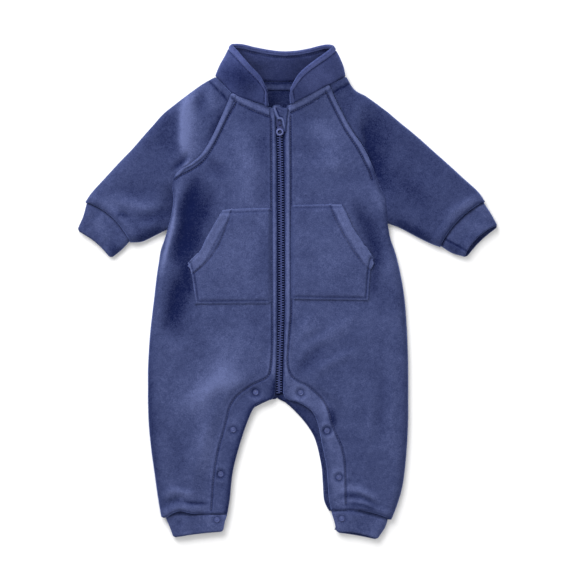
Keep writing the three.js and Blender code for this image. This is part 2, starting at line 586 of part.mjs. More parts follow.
// The zip's own line, from the crotch to the neck: its centre, and the front's upper face beside it
const ZIP_LINE = table(['x', 'y', 'z'], [
  [-9.5, -122, 8.9],
  [-9.5, -105, 11],
  [-8.5, -71, ZIP_TOP],
  [-7, -24, ZIP_TOP],
  [-7, 56.5, ZIP_TOP],
  [-7.2, 107, ZIP_TOP],
  [-7.8, 152, ZIP_TOP],
  [PIVOT.x, 190, ZIP_TOP],
]);

function zipStrip(from, to, topZ, thickness, headY) {
  const last = ZIP_LINE[ZIP_LINE.length - 1];
  const line = [...ZIP_LINE, { x: last.x, y: headY, z: last.z }];
  return strip(line.map((s) => ({
    left: [s.x + from, s.y],
    right: [s.x + to, s.y],
    z: s.z + topZ,
  })), thickness);
}

const TAPE_TOP = -CLOTH - GAP; // from the front's upper face
const tapeBottom = ZIP_TOP + TAPE_TOP - TAPE.wall;
const SLIDER_FOOT = PIVOT.y + SLIDER.foot;
const TAPE_HEAD = 215;

function neckTape() {
  const stations = COLLAR.slice(8, 13).map((row) => ({
    left: [row.footX * NECK_TAPE.narrowing, row.footY - NECK_TAPE.top],
    right: [row.footX * NECK_TAPE.narrowing, row.footY - NECK_TAPE.bottom],
    z: CLOTH + GAP + NECK_TAPE.lift,
  }));
  return strip(stations, NECK_TAPE.wall);
}

// A placket lies on the back along the inner edge of one leg
function backPlacket(side) {
  const stations = BACK.slice(0, 9).map((row) => {
    const inner = new THREE.Vector2(row[`inner${side}X`], row[`inner${side}Y`]);
    const outerX = row[side === 'Left' ? 'leftX' : 'rightX'];
    const outerY = row[side === 'Left' ? 'leftY' : 'rightY'];
    const way = new THREE.Vector2(outerX, outerY).sub(inner).normalize();
    const near = inner.clone().addScaledVector(way, PLACKET.inset);
    const far = inner.clone().addScaledVector(way, PLACKET.inset + PLACKET.width);
    return [near, far];
  });
  const z = 2 * CLOTH + GAP;
  const grid = stations.map(([near, far]) => [
    point(near.x, near.y, z, { out: UP }),
    point(far.x, far.y, z, { out: UP }),
  ]);
  return clothSolid([grid], CLOTH, side === 'Left' ? -1 : 1);
}

// ---------------------------------------------------------------------------------------------------------
// The slider, its tab and the chin guard

// A profile in X and Z, drawn along Y from one station to another
function drawnAlongY(shape, from, to) {
  const geometry = new THREE.ExtrudeGeometry(shape, { depth: to - from, bevelEnabled: false });
  geometry.rotateX(Math.PI / 2);
  geometry.translate(0, to, 0);
  return geometry;
}

function solidOf(geometry) {
  const bare = geometry.clone();
  bare.deleteAttribute('normal');
  bare.deleteAttribute('uv');
  const merged = mergeVertices(bare);
  return new wasm.Manifold(new wasm.Mesh({
    numProp: 3,
    vertProperties: new Float32Array(merged.attributes.position.array),
    triVerts: new Uint32Array(merged.index.array),
  }));
}

function joined(a, b) {
  const mesh = solidOf(a).add(solidOf(b)).getMesh();
  const geometry = new THREE.BufferGeometry();
  geometry.setAttribute('position', new THREE.BufferAttribute(mesh.vertProperties, 3));
  geometry.setIndex(new THREE.BufferAttribute(mesh.triVerts, 1));
  return geometry;
}

// The slider is one casting: two plates joined by a web, with slots for the tapes, and a bridge on top
function slider() {
  const slotLow = tapeBottom - SLIDER.slotPlay;
  const slotHigh = tapeBottom + TAPE.wall + SLIDER.slotPlay;
  const low = slotLow - SLIDER.bottom;
  const high = slotHigh + SLIDER.plate;
  const { half, web } = SLIDER;
  const outline = new THREE.Shape([
    [-half, low], [half, low], [half, slotLow], [web, slotLow], [web, slotHigh], [half, slotHigh],
    [half, high], [-half, high], [-half, slotHigh], [-web, slotHigh], [-web, slotLow], [-half, slotLow],
  ].map(([x, z]) => new THREE.Vector2(x, z)));
  const body = drawnAlongY(outline, PIVOT.y + SLIDER.foot, PIVOT.y + SLIDER.head);
  body.translate(PIVOT.x, 0, 0);
  return joined(body, bridge(high));
}

// The bridge is an arch along the zip, seen from the side as a U standing on its open end
function bridge(seatZ) {
  const { foot, head, leg, roof, top, half, sink, chamfer } = BRIDGE;
  const z = { low: seatZ - sink, inner: PIVOT.z + top - roof, high: PIVOT.z + top };
  const arch = new THREE.Shape([
    [foot, z.low], [foot + leg, z.low], [foot + leg, z.inner], [head - leg, z.inner],
    [head - leg, z.low], [head, z.low], [head, z.high - chamfer], [head - chamfer, z.high],
    [foot + chamfer, z.high], [foot, z.high - chamfer],
  ].map(([y, h]) => new THREE.Vector2(y, h)));
  const geometry = new THREE.ExtrudeGeometry(arch, { depth: 2 * half, bevelEnabled: false });
  geometry.rotateX(Math.PI / 2);
  geometry.rotateZ(Math.PI / 2);
  geometry.translate(PIVOT.x - half, PIVOT.y, 0);
  return geometry;
}

function pullTab() {
  const { bar, arm, slot, slotEnd, ring, ringOuter, ringInner, wall, shoulder, flare, flareRise } = TAB;
  const shape = new THREE.Shape();
  shape.moveTo(-arm, bar);
  shape.lineTo(-arm, -slotEnd - shoulder);
  shape.lineTo(-ringOuter * flare, -ring + flareRise);
  shape.absarc(0, -ring, ringOuter, Math.PI * 0.9, Math.PI * 2.1, false);
  shape.lineTo(arm, -slotEnd - shoulder);
  shape.lineTo(arm, bar);
  shape.closePath();
  const eye = new THREE.Path();
  eye.absarc(0, -ring, ringInner, 0, Math.PI * 2, true);
  const window = new THREE.Path([
    [-slot, -bar], [slot, -bar], [slot, -slotEnd], [-slot, -slotEnd],
  ].map(([x, y]) => new THREE.Vector2(x, y)));
  shape.holes.push(eye, window);
  const geometry = new THREE.ExtrudeGeometry(shape, { depth: wall, bevelEnabled: false, curveSegments: 9 });
  geometry.translate(PIVOT.x, PIVOT.y, PIVOT.z - wall / 2);
  return geometry;
}

// The chin guard is a tongue folded over the top of the zip, sewn to the right front
const GUARD = { wall: 2.4, bottom: ZIP_TOP + 0.7 };
function chinGuard() {
  const outline = new THREE.Shape([
    [-16.4, 216], [-15.6, 211.5], [-13.6, 208], [-10.6, 206.3], [-6.4, 205.6], [-5.9, 204], [-5.9, 199],
    [-5.2, 196.6], [-4, 194.2], [-2, 191], [0.2, 190.2], [1.2, 193], [1.6, 200], [1.6, 210], [2, 219.5],
    [-2, 222], [-6, 223.6], [-9, 224.2], [-13, 223.4], [-15.6, 220.6],
  ].map(([x, y]) => new THREE.Vector2(x, y)));
  const geometry = new THREE.ExtrudeGeometry(outline, { depth: GUARD.wall, bevelEnabled: false });
  geometry.translate(0, 0, GUARD.bottom);
  return geometry;
}

function disc(x, y, bottom, radius, height) {
  const geometry = new THREE.CylinderGeometry(radius, radius, height, SNAP.sides);
  geometry.rotateX(Math.PI / 2);
  geometry.translate(x, y, bottom + height / 2);
  return geometry;
}

// ---------------------------------------------------------------------------------------------------------
// Assembly

const group = new THREE.Group();
function add(name, geometry, look) {
  const mesh = new THREE.Mesh(geometry, new THREE.MeshStandardMaterial(look));
  mesh.name = name;
  group.add(mesh);
}

add('back_panel', backPanel(), FLEECE);
add('front_left', frontPanel(FRONT_LEFT), FLEECE);
add('front_right', frontPanel(FRONT_RIGHT), FLEECE);
add('sleeve_left', sleeve(SLEEVE_LEFT), FLEECE);
add('sleeve_right', sleeve(SLEEVE_RIGHT), FLEECE);
add('sleeve_cuff_left', sleeveCuff(SLEEVE_CUFF_LEFT), FLEECE);
add('sleeve_cuff_right', sleeveCuff(SLEEVE_CUFF_RIGHT), FLEECE);
add('leg_cuff_left', legCuff(LEG_CUFF_LEFT, 0), FLEECE);
add('leg_cuff_right', legCuff(LEG_CUFF_RIGHT, LEG_CUFF_BOW), FLEECE);
add('collar', collar(), FLEECE);
add('neck_tape', neckTape(), FLEECE);
add('pocket_left', pocket(POCKET_LEFT), FLEECE);
add('pocket_right', pocket(POCKET_RIGHT), FLEECE);
add('back_placket_left', backPlacket('Left'), FLEECE);
add('back_placket_right', backPlacket('Right'), FLEECE);
add('zip_tape_left', zipStrip(-TAPE.outer, -TAPE.inner, TAPE_TOP, TAPE.wall, TAPE_HEAD), ZIP_TAPE);
add('zip_tape_right', zipStrip(TAPE.inner, TAPE.outer, TAPE_TOP, TAPE.wall, TAPE_HEAD), ZIP_TAPE);
const chainTop = TAPE_TOP - TAPE.wall + CHAIN.top;
const chainWall = CHAIN.top - CHAIN.bottom;
const chainHead = SLIDER_FOOT - GAP;
add('zip_chain_left', zipStrip(-CHAIN.half, -GAP / 2, chainTop, chainWall, chainHead), PLASTIC);
add('zip_chain_right', zipStrip(GAP / 2, CHAIN.half, chainTop, chainWall, chainHead), PLASTIC);
add('zip_slider', slider(), PLASTIC);
add('zip_pull_tab', pullTab(), PLASTIC);
add('chin_guard', chinGuard(), FLEECE);
for (const { name, x, y, seat } of SNAPS) {
  add(`snap_cap_${name}`, disc(x, y, seat + GAP, SNAP.capRadius, SNAP.capHeight), PLASTIC);
  add(`snap_stud_${name}`, disc(x, y, 2 * CLOTH + 2 * GAP, SNAP.studRadius, SNAP.studHeight), PLASTIC);
}

export default group;
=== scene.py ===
import math

import bmesh
import bpy
import numpy as np
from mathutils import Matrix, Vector
from mathutils.bvhtree import BVHTree


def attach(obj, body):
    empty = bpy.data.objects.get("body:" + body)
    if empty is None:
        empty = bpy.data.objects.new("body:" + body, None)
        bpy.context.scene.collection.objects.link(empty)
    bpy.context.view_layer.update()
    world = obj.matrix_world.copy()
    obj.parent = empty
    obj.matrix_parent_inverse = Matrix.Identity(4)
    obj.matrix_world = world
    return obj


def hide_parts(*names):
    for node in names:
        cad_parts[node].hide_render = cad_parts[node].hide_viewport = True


# A baby's fleece romper, laid flat on its back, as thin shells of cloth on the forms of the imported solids.
# Tables and sizes are millimetres, and mesh_from() turns them into the frame's metres. "Left" and "right" are
# as seen from above, with the collar at the top.

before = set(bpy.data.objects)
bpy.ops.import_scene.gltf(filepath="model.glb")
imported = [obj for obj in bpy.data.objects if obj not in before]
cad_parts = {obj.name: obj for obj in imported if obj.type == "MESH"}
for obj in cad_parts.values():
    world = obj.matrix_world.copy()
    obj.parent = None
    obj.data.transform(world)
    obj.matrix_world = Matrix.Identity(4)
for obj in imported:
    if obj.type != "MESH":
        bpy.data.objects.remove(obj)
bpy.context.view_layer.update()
MM = 0.001
BODY = "garment"

# Driving sizes
CLOTH = 2.4  # fleece wall
COLLAR_WALL = 3.0
GAP = 0.3
SEAM_Z = 4.5  # height of the side seams above the surface
SIDE = SEAM_Z + GAP / 2
RIM = SEAM_Z - GAP / 2
OVER = 9.4  # height of the front's edge where it lies over the sleeve
RAGLAN_Z = 12.2
PLACKET_TOP = 9.1
ZIP_TOP = 12.6
CUFF_TOP = 9.5
BODY_LOFT = 13.2
SLEEVE_LOFT = 13.4
FRONT_ROLL = 13
BACK_ROLL = 5
BAND_RISE = 24
PIVOT = (-8.6, 203, 14)

# ---------------------------------------------------------------------------------------------------------
# Tables, as in the solids: one row for each section, and smooth curves between the rows

FRONT_COLUMNS = "side_x side_y side_z zip_x zip_y zip_z flat bow roll"
FRONT_LEFT = [
    (-151, -266.5, SIDE, -71.5, -266, PLACKET_TOP, 24, 0, FRONT_ROLL),
    (-155, -247, SIDE, -68.5, -247, PLACKET_TOP, 24, 0, FRONT_ROLL),
    (-159, -218.5, SIDE, -65.5, -218.5, PLACKET_TOP, 24, 0, FRONT_ROLL),
    (-163, -189.5, SIDE, -59, -191, PLACKET_TOP, 24, 0, FRONT_ROLL),
    (-166, -159.5, SIDE, -48.5, -158.5, PLACKET_TOP, 24, 0, FRONT_ROLL),
    (-167, -132, SIDE, -38.5, -137.5, PLACKET_TOP, 24, 0, FRONT_ROLL),
    (-167, -111.5, SIDE, -26.5, -131, PLACKET_TOP, 26, 0, FRONT_ROLL),
    (-167, -93.5, SIDE, -15.5, -125.5, PLACKET_TOP, 28, 0, FRONT_ROLL),
    (-166, -72, SIDE, -13.5, -103, 12, 8, 0, FRONT_ROLL),
    (-164, -45.5, SIDE, -12, -69.5, ZIP_TOP, 6, 0, FRONT_ROLL),
    (-159.5, -7, SIDE, -12, -24, ZIP_TOP, 6, 0, FRONT_ROLL),
    (-155, 29, SIDE, -12, 20.5, ZIP_TOP, 6, 0, FRONT_ROLL),
    (-148, 60, SIDE + 1, -12, 56.5, ZIP_TOP, 6, 0, FRONT_ROLL),
    (-140.5, 85, OVER, -12, 84, ZIP_TOP, 6, 0, FRONT_ROLL),
    (-136.5, 109, OVER, -12.5, 107, ZIP_TOP, 6, 0, FRONT_ROLL),
    (-137.5, 133, OVER, -12.5, 126, ZIP_TOP, 6, 0, FRONT_ROLL),
    (-129, 147, RAGLAN_Z - 1, -12.5, 139, ZIP_TOP, 6, 0, 6),
    (-118, 153, RAGLAN_Z, -12.5, 152.5, ZIP_TOP, 6, 0, 5),
    (-104.5, 164, RAGLAN_Z, -12.5, 166, ZIP_TOP, 6, 0, 5),
    (-92.5, 181.5, RAGLAN_Z, -13, 181, ZIP_TOP, 6, 0, 5),
    (-79.2, 209.3, RAGLAN_Z, -13.5, 199, ZIP_TOP, 6, 0, 5),
    (-67, 237.5, RAGLAN_Z, -14, 218.5, ZIP_TOP, 6, 0, 5),
]
FRONT_RIGHT = [
    (125.5, -273, SIDE, 53, -261.5, PLACKET_TOP, 24, 5, FRONT_ROLL),
    (132.5, -255, SIDE, 50.5, -248.5, PLACKET_TOP, 24, 4, FRONT_ROLL),
    (138.5, -234, SIDE, 49, -229, PLACKET_TOP, 24, 0, FRONT_ROLL),
    (142, -209, SIDE, 47, -207, PLACKET_TOP, 24, 0, FRONT_ROLL),
    (144.5, -177.5, SIDE, 41.5, -180, PLACKET_TOP, 24, 0, FRONT_ROLL),
    (145.5, -151, SIDE, 37, -158.5, PLACKET_TOP, 24, 0, FRONT_ROLL),
    (145.5, -132, SIDE, 30.5, -144, PLACKET_TOP, 24, 0, FRONT_ROLL),
    (145.5, -113, SIDE, 14.5, -133, PLACKET_TOP, 26, 0, FRONT_ROLL),
    (145.5, -93.5, SIDE, -2.5, -126.5, PLACKET_TOP, 28, 0, FRONT_ROLL),
    (145, -69.5, SIDE, -4, -105.5, 12, 8, 0, FRONT_ROLL),
    (143, -36, SIDE, -3.5, -72, ZIP_TOP, 6, 0, FRONT_ROLL),
    (140, 0, SIDE, -2.4, -24, ZIP_TOP, 6, 0, FRONT_ROLL),
    (133, 35, SIDE, -2.4, 20.5, ZIP_TOP, 6, 0, FRONT_ROLL),
    (124, 65, SIDE + 1, -2.4, 56.5, ZIP_TOP, 6, 0, FRONT_ROLL),
    (120.5, 87.5, OVER, -2.4, 84, ZIP_TOP, 6, 0, FRONT_ROLL),
    (120, 110.5, OVER, -2.4, 105.5, ZIP_TOP, 6, 0, FRONT_ROLL),
    (113.5, 122.5, OVER, -2.4, 120, ZIP_TOP, 6, 0, FRONT_ROLL),
    (107, 138, OVER, -2.4, 137, ZIP_TOP, 6, 0, FRONT_ROLL),
    (100, 157, OVER + 0.8, -2.5, 155, ZIP_TOP, 6, 0, FRONT_ROLL),
    (90, 176.5, RAGLAN_Z, -2.5, 170.5, ZIP_TOP, 6, 0, 5),
    (76.5, 196, RAGLAN_Z, -2.5, 185, ZIP_TOP, 6, 0, 5),
    (62.5, 222.5, RAGLAN_Z, -1.5, 204, ZIP_TOP, 6, 0, 5),
    (51, 247.5, RAGLAN_Z, -0.5, 222.5, ZIP_TOP, 6, 0, 5),
]
BACK_COLUMNS = "left_x left_y inner_left_x inner_left_y inner_right_x inner_right_y right_x right_y rim"
BACK = [
    (-151, -266.5, -74.5, -266, 50.5, -261.8, 125.5, -273, RIM),
    (-155, -247, -71.5, -247, 45.5, -249.5, 132.5, -255, RIM),
    (-159, -218.5, -68.5, -218.5, 44, -229, 138.5, -234, RIM),
    (-163, -189.5, -62.5, -191, 42, -207, 142, -209, RIM),
    (-166, -159.5, -53, -158.5, 35, -177.5, 144.5, -177.5, RIM),
    (-167, -132, -43, -141.5, 24.5, -159, 145.5, -151, RIM),
    (-167, -115, -32.5, -134.5, 11.5, -144, 145.5, -132, RIM),
    (-167, -101, -21.5, -129.5, -0.5, -133, 145.5, -115, RIM),
    (-166.5, -86.5, -11.5, -125, -11.5, -125, 145.5, -98.5, RIM),
    (-165.5, -63.5, -11, -99.5, -11, -99.5, 145, -75.5, RIM),
    (-163, -39.5, -10, -63.5, -10, -63.5, 144, -45.5, RIM),
    (-159.5, -7, -9.5, -24, -9.5, -24, 141, -7, RIM),
    (-155, 29, -9.5, 20.5, -9.5, 20.5, 134.5, 30, RIM),
    (-148, 60, -9.5, 56.5, -9.5, 56.5, 125.5, 60, RIM),
    (-127, 83.5, -9.5, 84, -9.5, 84, 111, 87, 0),
    (-126.5, 107, -9.5, 105, -9.5, 105, 110.5, 104.5, 0),
    (-126.5, 127, -9.5, 125, -9.5, 125, 106, 122.5, 0),
    (-121, 143, -9.5, 141, -9.5, 141, 101, 138, 0),
    (-111, 158, -9.5, 156, -9.5, 156, 96, 155, 0),
    (-99, 177, -9.5, 176, -9.5, 176, 88, 176.5, 0),
    (-85, 200, -9.5, 198, -9.5, 198, 72, 200, 0),
    (-69, 227, -9.5, 225, -9.5, 225, 54, 228, 0),
    (-53, 253, -9.5, 252, -9.5, 252, 40, 254, 0),
]
SLEEVE_COLUMNS = "fold_x fold_y front_x front_y front_z roll back_x back_y rim"
SLEEVE_LEFT = [
    (-242, 108.5, -188, 59.5, SIDE, 10, -188, 59.5, RIM),
    (-234, 120, -174, 60.5, SIDE, 12, -174, 60.5, RIM),
    (-218.5, 137, -157, 68.5, SIDE, 14, -157, 68.5, RIM),
    (-201.5, 155.5, -143, 75.5, SIDE, 24, -143, 75.5, RIM),
    (-186, 171.5, -129.5, 83, SIDE, 44, -129.5, 83, 2),
    (-173, 186.5, -129, 107, SIDE, 44, -127, 107, 0),
    (-161, 200, -130, 126, SIDE, 44, -127, 127, 0),
    (-149, 213.5, -127.5, 145.3, RAGLAN_Z - 2, 6, -121.5, 143.2, 0),
    (-135.5, 224.5, -116.2, 151.4, RAGLAN_Z - 2, 6, -111.3, 158.2, 0),
    (-122.5, 234.5, -102.9, 162.3, RAGLAN_Z - 2, 6, -99.3, 177.2, 0),
    (-109, 244.5, -91, 180.2, RAGLAN_Z - 2, 6, -85.3, 200.2, 0),
    (-98.5, 251.5, -77.5, 208.2, RAGLAN_Z - 2, 6, -69.3, 227.2, 0),
    (-86.5, 258, -65.5, 236.7, RAGLAN_Z - 2, 6, -53.3, 253.2, 0),
]
SLEEVE_RIGHT = [
    (237.5, 109, 183.5, 54, SIDE, 10, 183.5, 54, RIM),
    (229, 121, 170.5, 59, SIDE, 12, 170.5, 59, RIM),
    (212.5, 136, 152.5, 68, SIDE, 14, 152.5, 68, RIM),
    (194.5, 152.5, 135.5, 77, SIDE, 24, 135.5, 77, RIM),
    (176.5, 168.5, 113.5, 87, SIDE, 40, 113.5, 87, 2),
    (161, 182.5, 112, 104.5, SIDE, 40, 111, 104.5, 0),
    (147.5, 194, 106.5, 122.5, SIDE, 36, 106.5, 122.5, 0),
    (134.5, 204.5, 101.5, 138, SIDE, 30, 101.5, 138, 0),
    (121, 216, 96.5, 155, SIDE, 26, 96.5, 155, 0),
    (109, 225, 90.5, 176.7, RAGLAN_Z - 2, 6, 88.4, 176.7, 0),
    (95, 235, 77, 196.3, RAGLAN_Z - 2, 6, 72.4, 200.2, 0),
    (81, 243, 63, 222.7, RAGLAN_Z - 2, 6, 54.4, 228.2, 0),
    (71.5, 258, 51.5, 247.7, RAGLAN_Z - 2, 6, 40.4, 254.2, 0),
]
CUFF_COLUMNS = "fold_x fold_y front_x front_y height"
SLEEVE_CUFF_LEFT = [
    (-240.7, 106.6, -189.6, 60.2, 10.4),
    (-246, 89.5, -199.5, 49.5, 10),
    (-252.5, 75.5, -210.3, 40.5, 9.6),
]
SLEEVE_CUFF_RIGHT = [
    (236.4, 107.2, 185, 54.8, 10.6),
    (245.5, 94, 199.5, 45.5, 11.4),
    (253.8, 80, 213.5, 40.8, 12.4),
]
LEG_CUFF_LEFT = [
    (-147, -267.1, -72.5, -266.5, CUFF_TOP),
    (-142, -281, -74.5, -277, CUFF_TOP),
    (-137.5, -294.5, -76, -287, CUFF_TOP),
]
LEG_CUFF_RIGHT = [
    (121, -273.3, 54, -263, CUFF_TOP),
    (117, -285.5, 56.5, -276, CUFF_TOP),
    (110, -297, 59, -288, CUFF_TOP),
]
COLLAR_COLUMNS = "foot_x foot_y foot_z top_x top_y top_z"
COLLAR = [
    (-23, 222.3, 12.8, -23.5, 240, 33),
    (-33, 225.8, 13, -30, 253, 42),
    (-47, 230.8, 13, -42, 266, 46),
    (-64, 236.9, 12.6, -52.5, 278, 46),
    (-76, 248.6, 10.5, -61, 288, 43),
    (-84.5, 257.8, 6.5, -66, 293.5, 39),
    (-84.5, 260.8, 3, -65.5, 296, 35.5),
    (-72, 258.8, 1, -54, 296, 32.5),
    (-54, 255.8, 0.5, -37, 292.5, 30),
    (-32, 255, 0.4, -21, 289.5, 28.5),
    (-8.5, 254.6, 0.4, -6, 288, 28),
    (15.5, 255.3, 0.4, 10, 288.5, 28.5),
    (38, 256.8, 0.4, 26, 291, 30),
    (56, 259, 1, 40, 294.5, 32.5),
    (68, 261, 3, 50, 296, 35.5),
    (70, 258.6, 6.5, 56.5, 294, 39),
    (62, 254, 10.5, 53, 289, 43),
    (50, 247.6, 12.6, 40, 279, 46),
    (34, 239.8, 12.8, 26, 268.5, 46.5),
    (18, 232, 13, 12.5, 256, 44),
    (5, 225.7, 12.8, 2.5, 241, 34),
]
POCKET_COLUMNS = "outer_x outer_y zip_x zip_y"
POCKET_LEFT = [
    (-109, -14, -18.5, -13.5),
    (-110, -6, -18.5, -4),
    (-112, 9.5, -18.5, 11),
    (-115, 24, -18.5, 25),
    (-118, 33, -18.5, 35),
    (-114.5, 38.5, -18.5, 43),
    (-102.5, 51, -18.5, 55),
    (-94.5, 68.5, -18.5, 72),
    (-85, 84.5, -18.5, 87),
    (-77, 98.5, -18.5, 100.5),
]
POCKET_RIGHT = [
    (97.5, -10, 5, -8.5),
    (97.5, 0, 5, 1),
    (98, 13, 5, 14),
    (100, 25, 5, 26),
    (102.5, 36, 5, 36),
    (101, 43, 5, 43),
    (92, 57, 5, 57.5),
    (79, 75, 5, 75.5),
    (71, 92.5, 5, 91),
    (65.5, 105, 5, 104),
]

# Creases: the height of the ridge (or the depth of the trough, under 0), how much painted highlight lightens
# it (or painted shade darkens it, under 0), the widths on the left and on the right of its way, and the
# points that its line passes through
BODY_CREASES = [
    (-4.2, -0.90, 19, 11, [(-92, 152), (-105, 136), (-114, 118), (-119, 95), (-123, 70), (-130, 40),
                           (-137, 10)]),
    (-2.0, -0.30, 11, 9, [(-88, 132), (-93, 112), (-99, 88), (-110, 62), (-121, 40)]),
    (1.8, 0.62, 3.6, 3.6, [(-131, 140), (-133, 118), (-136, 90), (-142, 62), (-149, 34), (-156, 0)]),
    (-3.2, -0.60, 14, 10, [(-116, 40), (-128, 8), (-136, -22), (-146, -62)]),
    (1.0, 0.10, 5, 6, [(-148, 24), (-158, -20), (-161, -60)]),
    (-1.8, -0.22, 12, 12, [(-78, 160), (-85, 146), (-88, 134)]),
    (1.2, 0.10, 13, 13, [(-54, 160), (-46, 120), (-42, 84)]),
    (3.2, 0.36, 13, 17, [(-34, -88), (-66, -104), (-92, -116), (-108, -136), (-112, -160)]),
    (1.8, 0.16, 9, 9, [(-100, -140), (-97, -180), (-98, -232)]),
    (-1.2, -0.12, 12, 14, [(-124, -140), (-129, -190), (-130, -230)]),
    (-2.2, -0.24, 4, 7, [(-154, -250), (-142, -252.5), (-132, -249), (-122, -244)]),
    (1.8, 0.22, 4, 5, [(-152, -244), (-138, -238), (-122, -241), (-104, -246)]),
    (-1.5, -0.46, 1.8, 1.8, [(-128, -251), (-115, -253), (-102, -253.5), (-90, -253)]),
    (-0.9, -0.04, 17, 17, [(-56, -36), (-84, -60), (-112, -84)]),
    (0, 0.09, 24, 24, [(-40, -30), (-70, -62), (-90, -100), (-96, -150)]),
    (1.0, 0.08, 8, 20, [(-30, -30), (-34, -62), (-42, -92)]),
    (1.4, 0.16, 13, 13, [(28, 214), (38, 198), (50, 182), (62, 166)]),
    (1.8, 0.10, 18, 18, [(44, 176), (56, 158), (62, 138)]),
    (1.4, 0.10, 16, 16, [(-74, 200), (-58, 176), (-46, 150), (-40, 120)]),
    (-1.0, -0.12, 10, 10, [(-30, 200), (-30, 170), (-34, 140)]),
    (-0.9, -0.10, 12, 12, [(18, 196), (34, 160), (58, 124)]),
    (0, -0.16, 15, 15, [(-78, 214), (-52, 208), (-24, 196), (-20, 150)]),
    (0, -0.14, 14, 14, [(10, 150), (12, 200), (34, 214), (56, 226)]),
    (0, -0.12, 13, 13, [(-24, 176), (-26, 140), (-30, 100)]),
    (0, -0.30, 6, 6, [(-118, 48), (-120, 30), (-118, 8), (-114, -14)]),
    (0, -0.26, 6, 6, [(100, 52), (107, 38), (105, 14), (102, -12)]),
    (-3.4, -0.42, 11, 8, [(74, 120), (86, 96), (98, 72), (108, 46), (114, 20)]),
    (1.4, 0.14, 6, 5, [(96, 140), (106, 120), (114, 100), (117, 80)]),
    (1.2, 0.08, 9, 9, [(120, 70), (130, 40), (134, 0)]),
    (1.6, 0.12, 12, 14, [(14, -32), (22, -40), (30, -56)]),
    (-2.2, -0.26, 7, 8, [(4, -102), (20, -86), (40, -66), (58, -54)]),
    (1.8, 0.18, 8, 10, [(6, -92), (32, -68), (62, -44), (98, -18)]),
    (1.6, 0.12, 6, 7, [(20, -108), (40, -92), (66, -78), (96, -66)]),
    (-0.8, -0.08, 13, 13, [(44, -60), (70, -44), (100, -26)]),
    (1.8, 0.24, 4, 5, [(38, -122), (46, -140), (50, -158)]),
    (-2.2, -0.40, 4, 6, [(46, -132), (54, -146), (56, -162), (52, -170)]),
    (2.8, 0.34, 5, 5, [(50, -243), (70, -236), (86, -238), (102, -247), (116, -260)]),
    (-2.2, -0.34, 3.5, 3.5, [(54, -249), (76, -243.5), (92, -247), (106, -256), (118, -267)]),
    (2.0, 0.26, 3.5, 3.5, [(56, -254), (80, -250), (98, -254), (112, -263)]),
    (-1.4, -0.42, 1.8, 1.8, [(68, -254), (84, -254.5), (98, -258.5), (114, -266)]),
    (1.0, 0.06, 6, 6, [(122, -60), (126, -120), (124, -214)]),
    (-0.9, -0.08, 7, 7, [(110, -70), (113, -130), (110, -190)]),
    (0.7, 0.05, 6, 6, [(98, -100), (99, -150), (97, -210)]),
    (-0.8, -0.22, 9, 9, [(-163, -50), (-165, -130), (-160, -210), (-152, -258)]),
]
SLEEVE_CREASES = [
    (3.2, 0.60, 15, 5, [(-106, 264), (-119, 236), (-125, 206), (-125, 180), (-121, 158), (-118, 136)]),
    (-2.4, -0.22, 8, 22, [(-141, 226), (-138, 200), (-137, 174), (-133, 156)]),
    (1.6, 0.20, 7, 7, [(-86, 256), (-89, 240), (-90, 222), (-92, 208)]),
    (-1.8, -0.20, 7, 7, [(-103, 244), (-105, 226), (-106, 206)]),
    (-2.0, -0.34, 6, 6, [(-70, 226), (-78, 208), (-88, 190), (-98, 172)]),
    (1.5, 0.26, 3, 3.4, [(-137, 140), (-128, 147), (-119, 154.5), (-114, 163)]),
    (-1.8, -0.42, 5, 3, [(-140, 145), (-130, 152), (-122, 160), (-119, 172)]),
    (2.0, 0.20, 8, 8, [(-232, 118), (-212, 110), (-190, 106), (-166, 101), (-136, 104)]),
    (-1.4, -0.12, 13, 13, [(-204, 132), (-180, 122), (-150, 124)]),
    (-1.4, -0.24, 8, 8, [(-186, 88), (-166, 88), (-144, 96), (-130, 94)]),
    (1.0, 0.10, 5, 5, [(-184, 76), (-168, 80), (-150, 88)]),
    (-1.5, -0.36, 2.6, 2.6, [(-206, 88), (-201, 93), (-195, 92), (-190, 86)]),
    (-1.0, -0.42, 8, 8, [(-196, 62), (-178, 62), (-160, 69), (-140, 80)]),
    (-4.6, -0.44, 18, 6, [(91, 228), (94, 204), (98, 176), (105, 152), (114, 130), (122, 104)]),
    (1.0, 0.10, 7, 7, [(84, 236), (86, 214), (90, 196)]),
    (-6.0, -0.20, 14, 14, [(-133, 72), (-134, 104), (-133, 138)]),
    (1.6, 0.22, 8, 8, [(232, 116), (216, 104), (200, 95), (182, 84)]),
    (1.2, 0.04, 14, 14, [(140, 136), (170, 124), (206, 112)]),
    (-1.2, -0.12, 12, 12, [(122, 160), (146, 132), (170, 104), (180, 88)]),
    (-1.0, -0.40, 7, 7, [(122, 92), (140, 76), (158, 68), (182, 54)]),
]

# Snaps: name, place, and the depth of the dimple that the snap pulls in the cloth
SNAPS = [
    ("left_1", -37.5, -120.5, 1.3),
    ("left_2", -64.5, -165.5, 1.0),
    ("left_3", -79.5, -218.5, 1.4),
    ("left_4", -84, -273.5, 1.0),
    ("right_1", 16.5, -121, 1.3),
    ("right_2", 48, -166.5, 2.3),
    ("right_3", 62.5, -222.5, 1.5),
    ("right_4", 66, -272, 0.8),
]

